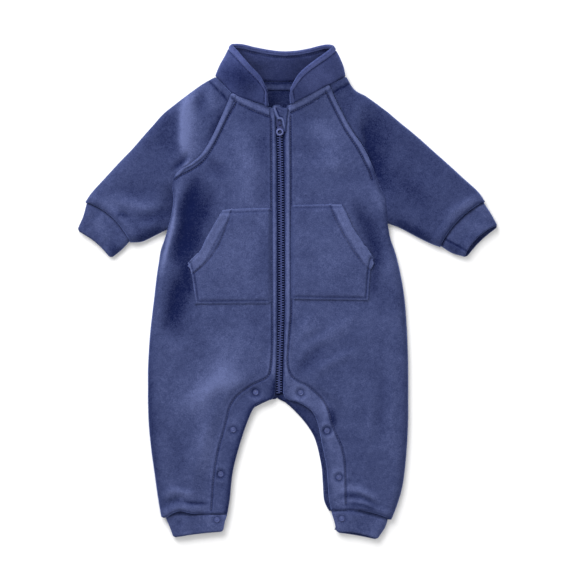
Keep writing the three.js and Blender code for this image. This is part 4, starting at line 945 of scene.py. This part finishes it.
# Painted shade and highlight only, with no height: lighter over the pockets' middles, darker beside the left
# pocket's zip edge
POCKET_CREASES = [
    (0, 0.08, 22, 22, [(-60, 0), (-58, 40), (-52, 84)]),
    (0, 0.08, 22, 22, [(48, 4), (46, 40), (40, 84)]),
    (0, -0.12, 10, 10, [(-24, 0), (-26, 40), (-26, 90)]),
]
POCKET_EDGES = {
    "pocket_left": {
        "slant": even(curve([(-77, 98.5), (-94.5, 68.5), (-107.5, 44), (-118, 33)], 10), 2),
        "sewn": even(np.array([(-118.0, 33), (-114, 20), (-109, -14), (-16, -13.5)]), 2),
        "top": even(np.array([(-77.0, 98.5), (-56, 98.6), (-18.5, 100.5)]), 2),
        "hem": even(curve([(-67, 97), (-71, 84), (-81.8, 57), (-94.7, 38.5), (-113, 21.5)], 10), 2),
    },
    "pocket_right": {
        "slant": even(curve([(65.5, 105), (79, 78), (92, 57), (102.5, 38)], 10), 2),
        "sewn": even(np.array([(102.5, 38.0), (100, 25), (97.5, -10), (5, -8.5)]), 2),
        "top": even(np.array([(65.5, 105.0), (40, 104.5), (5, 104)]), 2),
        "hem": even(curve([(52, 103), (61.2, 81.4), (75.7, 55.7), (88.6, 37.9), (100, 26)], 10), 2),
    },
}


def strip_piece(name, left, right, z, wall, facing, columns=10, tone_shift=0.0):
    """A flat strip between two lines of points, with rounded edges and painted shade along both."""
    left, right = even(left, 1.6), even(right, 1.6)
    count = min(len(left), len(right))
    pick = lambda line: line[np.round(np.linspace(0, len(line) - 1, count)).astype(int)]
    left, right = pick(left), pick(right)
    share = spread(columns, 0.5)[None, :, None]
    plan = left[:, None, :2] * (1 - share) + right[:, None, :2] * share
    width = np.linalg.norm(left[:, None, :2] - right[:, None, :2], axis=2)
    d = width * np.minimum(share, 1 - share)[..., 0]
    height = z - 0.6 * (1 - rounded(d, 1.5)) + 0.25 * noise(plan[..., 0], plan[..., 1], 8, 13)
    outer = np.dstack([plan, height])
    # Painted shade: darker along both edges, and tone_shift makes the whole strip darker
    tone = patchy(plan[..., 0], plan[..., 1]) + tone_shift - 0.3 * np.exp(-d / 1.6)
    return shell(name, outer, wall, facing, tone)


def neck_tape():
    rows = [row for row in COLLAR[8:13]]
    left = curve([(row[0] * 0.93, row[1] - 5.2, 0) for row in rows], 8)
    right = curve([(row[0] * 0.93, row[1] - 12.2, 0) for row in rows], 8)
    return strip_piece("neck_tape_cloth", left, right, 3.9, 1.0, 1, 12, -0.05)


def back_placket(key, side):
    near, far = [], []
    for lx, ly, ilx, ily, irx, iry, rx, ry, _ in BACK[:9]:
        inner = np.array([ilx, ily] if key == "left" else [irx, iry], float)
        outer = np.array([lx, ly] if key == "left" else [rx, ry], float)
        way = (outer - inner) / np.linalg.norm(outer - inner)
        near.append([*(inner + way * 0.6), 0])
        far.append([*(inner + way * 18.6), 0])
    name = "back_placket_cloth_" + key
    # Painted shade: -0.24 darkens the placket where it lies under the front's edge
    return strip_piece(name, curve(near, 8), curve(far, 8), 5.1, CLOTH, side, 14, -0.24)


GUARD_OUTLINE = [
    (-17.3, 222), (-16.6, 223.3), (-13.8, 224.5), (-9.6, 224.4), (-6.6, 222.2), (-3, 220.9), (1.2, 220.8),
    (0.6, 212.4), (-0.6, 200.4), (-1.2, 193.2), (-1.9, 191.6), (-2.9, 192.6), (-4.4, 195), (-5.4, 199),
    (-6.1, 202), (-6.6, 204.6), (-7.2, 206), (-9, 206.2), (-11.6, 206.8), (-13.8, 211), (-16.6, 217.8),
]
GUARD_SPINE = [(-12, 219), (-7.5, 214.5), (-3.6, 207), (-2.6, 197)]


def chin_guard():
    """A tongue of doubled fleece: rings of its outline drawn in to a crowned middle, with a turned edge."""
    ring = even(np.vstack([curve(GUARD_OUTLINE, 6), GUARD_OUTLINE[0]]), 0.6)[:-1]
    spine = even(curve(GUARD_SPINE, 10), 0.6)
    heart = spine[np.argmin(np.linalg.norm(ring[:, None] - spine[None], axis=2), axis=1)]
    turned_edge = 0.15 + 0.85 * smooth((heart[:, 0] - ring[:, 0]) / 3)
    bottom = ZIP_TOP + 0.9
    border = np.vstack([ring, ring[:1]])
    # Painted shade and highlight in the tone: darker underneath, at the outer edge and along the stitch line,
    # lighter on the turned edge's ridge
    points, tones = [np.column_stack([ring * 0.94 + heart * 0.06, np.full(len(ring), bottom)])], []
    tones.append(np.full(len(ring), -0.5))
    for inward in np.linspace(0, 0.97, 16) ** 1.3:
        plan = ring * (1 - inward) + heart * inward
        away = nearest(border, plan[:, 0], plan[:, 1])[0]
        ridge = turned_edge * bell(away - 2.1, 1.5)
        line = turned_edge * bell(away - 4.3, 0.8)
        z = bottom + 0.4 + 2.0 * rounded(away, 1.5) + 0.5 * ridge - 0.6 * line
        points.append(np.column_stack([plan, z]))
        tones.append(-0.12 + 0.44 * ridge - 0.46 * line - 0.5 * bell(away, 0.7))
    n, levels = len(ring), len(points)
    at = lambda k, j: k * n + j % n
    faces = [(at(k, j), at(k, j + 1), at(k + 1, j + 1), at(k + 1, j))
             for k in range(levels - 1) for j in range(n)]
    low = n * levels
    faces += [(low, at(0, j + 1), at(0, j)) for j in range(n)]
    faces += [(low + 1, at(levels - 1, j), at(levels - 1, j + 1)) for j in range(n)]
    middle = spine[len(spine) // 2]
    points.append(np.array([[*middle, bottom], [*middle, bottom + 2.4]]))
    tones.append(np.array([-0.5, 0.02]))
    after = np.roll(ring, -1, axis=0)
    if np.sum(ring[:, 0] * after[:, 1] - after[:, 0] * ring[:, 1]) <= 0:
        faces = [face[::-1] for face in faces]
    return mesh_from("chin_guard_cloth", np.vstack(points), faces, np.concatenate(tones))


# ---------------------------------------------------------------------------------------------------------
# Height of a piece, stitches, teeth and snaps


def tree_of(piece):
    mesh = piece.data
    points = [v.co.copy() for v in mesh.vertices]
    return BVHTree.FromPolygons(points, [tuple(p.vertices) for p in mesh.polygons])


DOWN = Vector((0, 0, -1))


def height_on(trees, x, y):
    """Height in millimetres of the highest of the pieces at a point of the plan."""
    best = 0.0
    for tree in trees:
        hit = tree.ray_cast(Vector((x * MM, y * MM, 0.1)), DOWN)[0]
        if hit is not None:
            best = max(best, hit.z / MM)
    return best


STITCH_SIDES = 6


def stitches(name, paths, pitch=3.0, length=2.4, radius=0.24):
    """Thread stitches along paths of six columns: a point on the cloth and the way up from it."""
    around = np.linspace(0, 2 * np.pi, STITCH_SIDES, endpoint=False)
    # Share of the stitch's length, how far it is sunk, and its thickness, from one end to the other
    profile = [(0.0, -0.4, 0.55), (0.22, -0.04, 1.0), (0.5, 0.06, 1.05), (0.78, -0.04, 1.0),
               (1.0, -0.4, 0.55)]
    points, faces = [], []
    for path in paths:
        path = even(path, pitch)
        for a, b in zip(path[:-1], path[1:]):
            run = b[:3] - a[:3]
            gap = np.linalg.norm(run)
            if gap < 0.6 * pitch:
                continue
            run = run / gap
            up = a[3:6] / max(np.linalg.norm(a[3:6]), 1e-6)
            across = np.cross(run, up)
            across = across / max(np.linalg.norm(across), 1e-6)
            start = len(points)
            for share, rise, size in profile:
                centre = a[:3] + run * (length * share) + up * rise
                for angle in around:
                    offset = across * math.cos(angle) + up * math.sin(angle)
                    points.append(centre + offset * radius * size)
            rings = len(profile)
            for k in range(rings - 1):
                for j in range(STITCH_SIDES):
                    m = (j + 1) % STITCH_SIDES
                    base = start + k * STITCH_SIDES
                    faces.append((base + j, base + STITCH_SIDES + j, base + STITCH_SIDES + m, base + m))
            faces.append(tuple(start + j for j in range(STITCH_SIDES)))
            end = start + (rings - 1) * STITCH_SIDES
            faces.append(tuple(end + j for j in reversed(range(STITCH_SIDES))))
    return mesh_from(name, points, faces)


def laid_path(line, trees, lift=0.1):
    """A plan line as a path on top of the pieces."""
    line = even(line, 2.0)
    heights = soften(np.array([[height_on(trees, px, py)] for px, py in line[:, :2]]), 1)[:, 0]
    ups = np.tile([0.0, 0.0, 1.0], (len(line), 1))
    return np.column_stack([line[:, :2], heights + lift, ups])


ZIP_LINE = np.array([
    (-9.5, -122, 8.9), (-9.5, -105, 11), (-8.5, -71, ZIP_TOP), (-7, -24, ZIP_TOP), (-7, 56.5, ZIP_TOP),
    (-7.2, 107, ZIP_TOP), (-7.8, 152, ZIP_TOP), (PIVOT[0], 188, ZIP_TOP), (PIVOT[0], 197.5, ZIP_TOP),
])
TOOTH_PITCH = 3.0


def zip_teeth(name, side):
    """One side's moulded teeth: each has a body on the tape and a head that meets the other side's."""
    line = even(ZIP_LINE, 0.5)
    run = np.arange(len(line)) * 0.5
    outline = [(-3.4, -0.5), (-1.9, -0.65), (-0.3, -0.5), (0.7, -0.72), (1.1, 0.0), (0.7, 0.72),
               (-0.3, 0.5), (-1.9, 0.65), (-3.4, 0.5)]
    n = len(outline)
    points, faces = [], []
    at = 1.0 + (TOOTH_PITCH / 2 if side > 0 else 0)
    while at < run[-1]:
        x, y, z = (np.interp(at, run, line[:, k]) for k in range(3))
        low = z - 3.5
        start = len(points)
        for height, inset in ((0.0, 0.0), (2.4, 0.0), (3.0, 0.35)):
            for px, py in outline:
                points.append((x - side * px * (1 - inset * 0.15), y + py * (1 - inset), low + height))
        for k in range(2):
            for j in range(n):
                m = (j + 1) % n
                low_ring, high_ring = start + k * n, start + (k + 1) * n
                quad = (low_ring + j, low_ring + m, high_ring + m, high_ring + j)
                faces.append(quad if side < 0 else quad[::-1])
        bottom = tuple(start + j for j in range(n))
        crown = tuple(start + 2 * n + j for j in range(n))
        faces.append(bottom[::-1] if side < 0 else bottom)
        faces.append(crown if side < 0 else crown[::-1])
        at += TOOTH_PITCH
    return mesh_from(name, points, faces, soft=False)


def turned(name, profile, x, y, z, sides=28):
    """A turned piece from a profile of (radius, height), closed on its axis at both ends."""
    points = [(x, y, z + profile[0][1])]
    for radius, height in profile[1:-1]:
        for k in range(sides):
            angle = 2 * math.pi * k / sides
            points.append((x + radius * math.cos(angle), y + radius * math.sin(angle), z + height))
    points.append((x, y, z + profile[-1][1]))
    rings = len(profile) - 2
    faces = []
    for k in range(sides):
        m = (k + 1) % sides
        faces.append((0, 1 + m, 1 + k))
        for ring in range(rings - 1):
            a, b = 1 + ring * sides, 1 + (ring + 1) * sides
            faces.append((a + k, a + m, b + m, b + k))
        last = 1 + (rings - 1) * sides
        faces.append((last + k, last + m, len(points) - 1))
    return mesh_from(name, points, faces)


# The pull tab, from the hinge down: distance below the hinge and half-width
TAB_EDGE = [
    (-0.7, 1.5), (-0.3, 2.0), (2.0, 2.1), (4.0, 2.5), (6.0, 3.3), (8.0, 4.2), (10.0, 4.65), (11.2, 4.75),
    (12.8, 4.45), (14.2, 3.6), (15.3, 2.2), (15.8, 0.8),
]
TAB_RING = 11.2
TAB_HOLE = 2.6
TAB_WINDOW = (0.6, 3.9, 1.15)  # from and to, below the hinge, and half-width
TAB_WALL = 1.4
BEAD_RADIUS = 3.4
BEAD_WIDTH = 1.05
BEAD_HEIGHT = 0.62


def pull_tab():
    """A teardrop plate with a round hole and a window that the slider's bridge stands in."""
    edge = curve(TAB_EDGE, 5)
    outline = [(w, -d) for d, w in edge] + [(-w, -d) for d, w in edge[::-1]]
    turn_of = np.linspace(0, 2 * np.pi, 36, endpoint=False)
    hole = [(TAB_HOLE * math.cos(a), -TAB_RING + TAB_HOLE * math.sin(a)) for a in turn_of]
    near, far, half = TAB_WINDOW
    window = [(half, -near), (-half, -near), (-half, -far), (half, -far)]
    base = (PIVOT[2] - TAB_WALL / 2) * MM
    mesh = bmesh.new()
    edges = []
    for loop in (outline, hole, window):
        corners = [mesh.verts.new(((PIVOT[0] + px) * MM, (PIVOT[1] + py) * MM, base)) for px, py in loop]
        edges += [mesh.edges.new((a, b)) for a, b in zip(corners, corners[1:] + corners[:1])]
    filled = bmesh.ops.triangle_fill(mesh, edges=edges, use_beauty=True)
    faces = [item for item in filled["geom"] if isinstance(item, bmesh.types.BMFace)]
    raised = bmesh.ops.extrude_face_region(mesh, geom=faces)
    lifted = [item for item in raised["geom"] if isinstance(item, bmesh.types.BMVert)]
    bmesh.ops.translate(mesh, vec=(0, 0, TAB_WALL * MM), verts=lifted)
    bmesh.ops.recalc_face_normals(mesh, faces=mesh.faces)
    data = bpy.data.meshes.new("pull_tab_plate")
    mesh.to_mesh(data)
    mesh.free()
    plate = bpy.data.objects.new("pull_tab_plate", data)
    bpy.context.collection.objects.link(plate)
    round_edges(plate, 0.0004)
    return plate


def ring_rim():
    """A raised bead round the tab's hole."""
    turn_of = np.linspace(0, 2 * np.pi, 12, endpoint=False)
    section = [(BEAD_RADIUS + BEAD_WIDTH * math.cos(a), BEAD_HEIGHT * math.sin(a)) for a in turn_of]
    sides, n = 40, len(section)
    points = []
    for k in range(sides):
        angle = 2 * math.pi * k / sides
        for radius, height in section:
            x, y = PIVOT[0] + radius * math.cos(angle), PIVOT[1] - TAB_RING + radius * math.sin(angle)
            points.append((x, y, PIVOT[2] - TAB_WALL / 2 + TAB_WALL + height))
    at = lambda k, j: (k % sides) * n + j % n
    faces = [(at(k, j), at(k + 1, j), at(k + 1, j + 1), at(k, j + 1)) for k in range(sides) for j in range(n)]
    return mesh_from("pull_tab_bead", points, faces)


def round_edges(piece, width):
    bevel = piece.modifiers.new("rounded_edges", "BEVEL")
    bevel.width = width
    bevel.segments = 3
    bevel.limit_method = "ANGLE"
    bevel.angle_limit = math.radians(35)


# Radius and height from the underside to the top: a ring with a shallow cup and a low dome in it
SNAP_PROFILE = [(0, -0.4), (3.0, -0.4), (3.35, 0.1), (3.3, 0.65), (2.95, 1.0), (2.45, 1.0), (2.1, 0.7),
                (1.8, 0.62), (1.4, 0.85), (0.8, 1.05), (0, 1.12)]


def snap_cap(name, x, y, trees):
    seat = height_on(trees, x, y)
    return turned("snap_" + name, SNAP_PROFILE, x, y, seat + 0.15)


# ---------------------------------------------------------------------------------------------------------
# Materials


def nodes_of(name):
    material = bpy.data.materials.new(name)
    material.use_nodes = True
    tree = material.node_tree
    return material, tree, tree.nodes["Principled BSDF"]


def noise_node(tree, size, detail=2.0, rough=0.55):
    """Noise in the object's own space, with lumps of about size metres."""
    where = tree.nodes.new("ShaderNodeTexCoord")
    node = tree.nodes.new("ShaderNodeTexNoise")
    node.inputs["Scale"].default_value = 1 / size
    node.inputs["Detail"].default_value = detail
    node.inputs["Roughness"].default_value = rough
    tree.links.new(where.outputs["Object"], node.inputs["Vector"])
    return node


def math_node(tree, operation, a, b):
    node = tree.nodes.new("ShaderNodeMath")
    node.operation = operation
    for k, value in enumerate((a, b)):
        if isinstance(value, (int, float)):
            node.inputs[k].default_value = value
        else:
            tree.links.new(value, node.inputs[k])
    return node.outputs[0]


def bump_node(tree, height, distance, strength, under=None):
    node = tree.nodes.new("ShaderNodeBump")
    node.inputs["Distance"].default_value = distance
    node.inputs["Strength"].default_value = strength
    tree.links.new(height, node.inputs["Height"])
    if under is not None:
        tree.links.new(under, node.inputs["Normal"])
    return node.outputs["Normal"]


def ramp_node(tree, value, stops):
    node = tree.nodes.new("ShaderNodeValToRGB")
    ramp = node.color_ramp
    while len(ramp.elements) < len(stops):
        ramp.elements.new(0.5)
    for element, (position, colour) in zip(ramp.elements, stops):
        element.position = position
        element.color = (*colour, 1)
    tree.links.new(value, node.inputs["Fac"])
    return node.outputs["Color"]


# The fleece's colour ramp, which the painted shade and highlight of the tone attribute and the pile's grain
# run along
NAVY_DARK = (0.0020, 0.0052, 0.038)
NAVY = (0.039, 0.051, 0.129)
NAVY_LIGHT = (0.100, 0.122, 0.262)


def base_colour(tree, shader, value, colour, low, high, darker, lighter):
    """A base colour from darker times a colour, at low, to lighter times it, at high."""
    stops = [(low, tuple(darker * c for c in colour)), (high, tuple(lighter * c for c in colour))]
    tree.links.new(ramp_node(tree, value, stops), shader.inputs["Base Color"])


def fleece(name, lift=0.0, blue=1.0):
    """Brushed fleece: a short uneven pile, darkened and lightened by painted shade and highlight from its
    tone.
    """
    material, tree, shader = nodes_of(name)
    stops = [(at, (r, g, blue * b)) for at, (r, g, b) in ((0.02, NAVY_DARK), (0.5, NAVY), (0.98, NAVY_LIGHT))]
    # The tone attribute: painted shade and highlight, with the nap's own uneven tone
    tone = tree.nodes.new("ShaderNodeAttribute")
    tone.attribute_name = "tone"
    pile = noise_node(tree, 0.0011, 2.0, 0.6)
    tufts = noise_node(tree, 0.0036, 3.0, 0.6)
    patches = noise_node(tree, 0.022, 3.0, 0.5)
    value = math_node(tree, "ADD", tone.outputs["Fac"], 0.5 + lift)
    for source, amount in ((pile, 0.80), (tufts, 0.34), (patches, 0.08)):
        part = math_node(tree, "MULTIPLY", math_node(tree, "SUBTRACT", source.outputs["Fac"], 0.5), amount)
        value = math_node(tree, "ADD", value, part)
    colour = ramp_node(tree, value, stops)
    tree.links.new(colour, shader.inputs["Base Color"])
    coarse = bump_node(tree, tufts.outputs["Fac"], 0.0007, 0.35)
    fine = bump_node(tree, pile.outputs["Fac"], 0.00045, 0.55, coarse)
    tree.links.new(fine, shader.inputs["Normal"])
    shader.inputs["Roughness"].default_value = 0.95
    shader.inputs["Specular IOR Level"].default_value = 0.06
    shader.inputs["Sheen Weight"].default_value = 0.55
    shader.inputs["Sheen Roughness"].default_value = 0.45
    shader.inputs["Sheen Tint"].default_value = (0.30, 0.40, 0.95, 1)
    return material


def woven(name, colour):
    """Zip tape: a fine rib across, with threads along it."""
    material, tree, shader = nodes_of(name)
    where = tree.nodes.new("ShaderNodeTexCoord")
    wave = tree.nodes.new("ShaderNodeTexWave")
    wave.wave_type = "BANDS"
    wave.bands_direction = "Y"
    wave.inputs["Scale"].default_value = 400
    wave.inputs["Distortion"].default_value = 0.6
    tree.links.new(where.outputs["Object"], wave.inputs["Vector"])
    grain = noise_node(tree, 0.0006)
    mix = math_node(tree, "ADD", math_node(tree, "MULTIPLY", grain.outputs["Fac"], 0.5),
                    math_node(tree, "MULTIPLY", wave.outputs["Fac"], 0.5))
    base_colour(tree, shader, mix, colour, 0.2, 0.8, 0.55, 1.35)
    tree.links.new(bump_node(tree, mix, 0.0003, 0.7), shader.inputs["Normal"])
    shader.inputs["Roughness"].default_value = 0.85
    shader.inputs["Specular IOR Level"].default_value = 0.1
    return material


def plastic(name, colour, roughness):
    """Moulded plastic: nearly even, with faint clouding and a fine moulded grain."""
    material, tree, shader = nodes_of(name)
    cloud = noise_node(tree, 0.004, 3.0)
    base_colour(tree, shader, cloud.outputs["Fac"], colour, 0.3, 0.7, 0.8, 1.22)
    grain = noise_node(tree, 0.0005)
    tree.links.new(bump_node(tree, grain.outputs["Fac"], 0.00008, 0.5), shader.inputs["Normal"])
    shader.inputs["Roughness"].default_value = roughness
    shader.inputs["Specular IOR Level"].default_value = 0.24
    return material


def thread(name, colour):
    """Sewing thread: twisted strands, with a slight lustre."""
    material, tree, shader = nodes_of(name)
    strands = noise_node(tree, 0.0004)
    base_colour(tree, shader, strands.outputs["Fac"], colour, 0.3, 0.7, 0.7, 1.3)
    tree.links.new(bump_node(tree, strands.outputs["Fac"], 0.0001, 0.6), shader.inputs["Normal"])
    shader.inputs["Roughness"].default_value = 0.7
    shader.inputs["Sheen Weight"].default_value = 0.2
    return material


def floor_paper(name):
    material, tree, shader = nodes_of(name)
    cloud = noise_node(tree, 0.4, 2.0)
    colour = ramp_node(tree, cloud.outputs["Fac"], [(0.3, (0.90, 0.90, 0.905)), (0.7, (0.92, 0.92, 0.92))])
    tree.links.new(colour, shader.inputs["Base Color"])
    shader.inputs["Roughness"].default_value = 0.9
    return material


def wear(piece, material, body=BODY):
    piece.data.materials.clear()
    piece.data.materials.append(material)
    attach(piece, body)
    return piece


# ---------------------------------------------------------------------------------------------------------
# Assembly

FLEECE = fleece("fleece_brushed")
CUFF_FLEECE = fleece("fleece_cuff", 0.04)
# A lighter, bluer copy of the fleece for the collar: painted light that makes up for the light on its steep
# faces
COLLAR_FLEECE = fleece("fleece_collar", 0.02, 1.15)
TAPE = woven("zip_tape_woven", (0.010, 0.016, 0.072))
TEETH = plastic("zip_teeth_moulded", (0.044, 0.060, 0.185), 0.42)
CASTING = plastic("zip_slider_enamel", (0.014, 0.021, 0.088), 0.4)
# The bead is a lighter copy of the enamel: painted highlight on the raised ring round the hole
BEAD = plastic("zip_tab_bead_painted_highlight", (0.072, 0.090, 0.225), 0.36)
SNAP_PLASTIC = plastic("snap_moulded", (0.046, 0.061, 0.168), 0.4)
THREAD = thread("thread_navy", (0.028, 0.038, 0.110))


def assign(piece, *nodes, material=None, slot="fleece"):
    wear(piece, material or FLEECE)
    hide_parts(*nodes)
    return piece


def dress(node, material):
    """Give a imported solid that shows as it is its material."""
    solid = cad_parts[node]
    solid.data.materials.clear()
    solid.data.materials.append(material)


back = assign(back_panel(), "back_panel")
fronts = {
    key: assign(front_panel("front_%s_cloth" % key, rows, side), "front_" + key)
    for key, rows, side in (("left", FRONT_LEFT, -1), ("right", FRONT_RIGHT, 1))
}
sleeves = {
    key: assign(sleeve("sleeve_%s_cloth" % key, rows, side), "sleeve_" + key)
    for key, rows, side in (("left", SLEEVE_LEFT, -1), ("right", SLEEVE_RIGHT, 1))
}
cuffs = {
    node: assign(cuff(node + "_cloth", rows, side, leg), node, material=CUFF_FLEECE, slot="cuff")
    for node, rows, side, leg in (
        ("sleeve_cuff_left", SLEEVE_CUFF_LEFT, -1, False),
        ("sleeve_cuff_right", SLEEVE_CUFF_RIGHT, 1, False),
        ("leg_cuff_left", LEG_CUFF_LEFT, -1, True),
        ("leg_cuff_right", LEG_CUFF_RIGHT, 1, True),
    )
}
front_trees = {key: tree_of(piece) for key, piece in fronts.items()}
pockets = {
    key: assign(pocket("pocket_" + key, rows, side, [front_trees[key]]), "pocket_" + key)
    for key, rows, side in (("left", POCKET_LEFT, -1), ("right", POCKET_RIGHT, 1))
}
collar_piece, collar_paths = collar()
assign(collar_piece, "collar", material=COLLAR_FLEECE)
tape_piece = assign(neck_tape(), "neck_tape")
plackets = {
    key: assign(back_placket(key, side), "back_placket_" + key) for key, side in (("left", -1), ("right", 1))
}
guard = assign(chin_guard(), "chin_guard")

# The zip
for key, side in (("left", -1), ("right", 1)):
    teeth = wear(zip_teeth("zip_teeth_" + key, side), TEETH)
    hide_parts("zip_chain_" + key)
for node, material in (("zip_tape_left", TAPE), ("zip_tape_right", TAPE), ("zip_slider", CASTING)):
    dress(node, material)
round_edges(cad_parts["zip_slider"], 0.00035)
plate = wear(pull_tab(), CASTING, "pull_tab")
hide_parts("zip_pull_tab")
wear(ring_rim(), BEAD, "pull_tab")

# The snaps
snap_trees = [*front_trees.values(), *[tree_of(cuffs[k]) for k in ("leg_cuff_left", "leg_cuff_right")]]
for name, x, y, _ in SNAPS:
    cap = wear(snap_cap(name, x, y, snap_trees), SNAP_PLASTIC)
    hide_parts("snap_cap_" + name)
    dress("snap_stud_" + name, SNAP_PLASTIC)

# Stitches
for key in ("left", "right"):
    paths = [laid_path(LINES[line + key], [front_trees[key]]) for line in ("zip_", "neck_", "raglan_")]
    wear(stitches("stitches_front_" + key, paths), THREAD)
    edges = POCKET_EDGES["pocket_" + key]
    tree = [tree_of(pockets[key])]
    wear(stitches("stitches_pocket_" + key, [laid_path(edges["hem"][2:-1], tree)]), THREAD)
wear(stitches("stitches_collar", collar_paths), THREAD)

# ---------------------------------------------------------------------------------------------------------
# Floor, light and camera


def floor():
    half, low = 5000, -0.4
    corners = [(-half, -half, low), (half, -half, low), (half, half, low), (-half, half, low)]
    piece = mesh_from("floor", corners, [(0, 1, 2, 3)], soft=False)
    piece.data.materials.append(floor_paper("floor_paper"))


def area_light(name, place, size, power, colour):
    light = bpy.data.lights.new(name, "AREA")
    light.size = size
    light.energy = power
    light.color = colour
    lamp = bpy.data.objects.new(name, light)
    lamp.location = place
    lamp.rotation_euler = (-Vector(place)).to_track_quat("-Z", "Y").to_euler()
    bpy.context.collection.objects.link(lamp)


def studio():
    world = bpy.data.worlds.new("studio")
    world.use_nodes = True
    world.node_tree.nodes["Background"].inputs["Color"].default_value = (1, 1, 1, 1)
    world.node_tree.nodes["Background"].inputs["Strength"].default_value = 0.55
    bpy.context.scene.world = world
    area_light("key_light", (-0.8, 1.5, 1.45), 1.7, 66, (1.0, 1.0, 1.0))
    area_light("top_light", (0.3, -0.3, 2.6), 2.0, 14, (1.0, 1.0, 1.0))
    bpy.context.scene.view_settings.view_transform = "Standard"


CAMERA_HEIGHT = 6.0
FRAME_WIDTH = 0.6876
FRAME_CENTRE = (-0.0006, 0.0066)
FOCUS_HEIGHT = 0.01


def camera():
    lens = bpy.data.cameras.new("camera")
    lens.sensor_width = 36
    lens.lens = 36 * (CAMERA_HEIGHT - FOCUS_HEIGHT) / FRAME_WIDTH
    lens.clip_end = 50
    eye = bpy.data.objects.new("camera", lens)
    eye.location = (*FRAME_CENTRE, CAMERA_HEIGHT)
    bpy.context.collection.objects.link(eye)
    bpy.context.scene.camera = eye


floor()
studio()
camera()
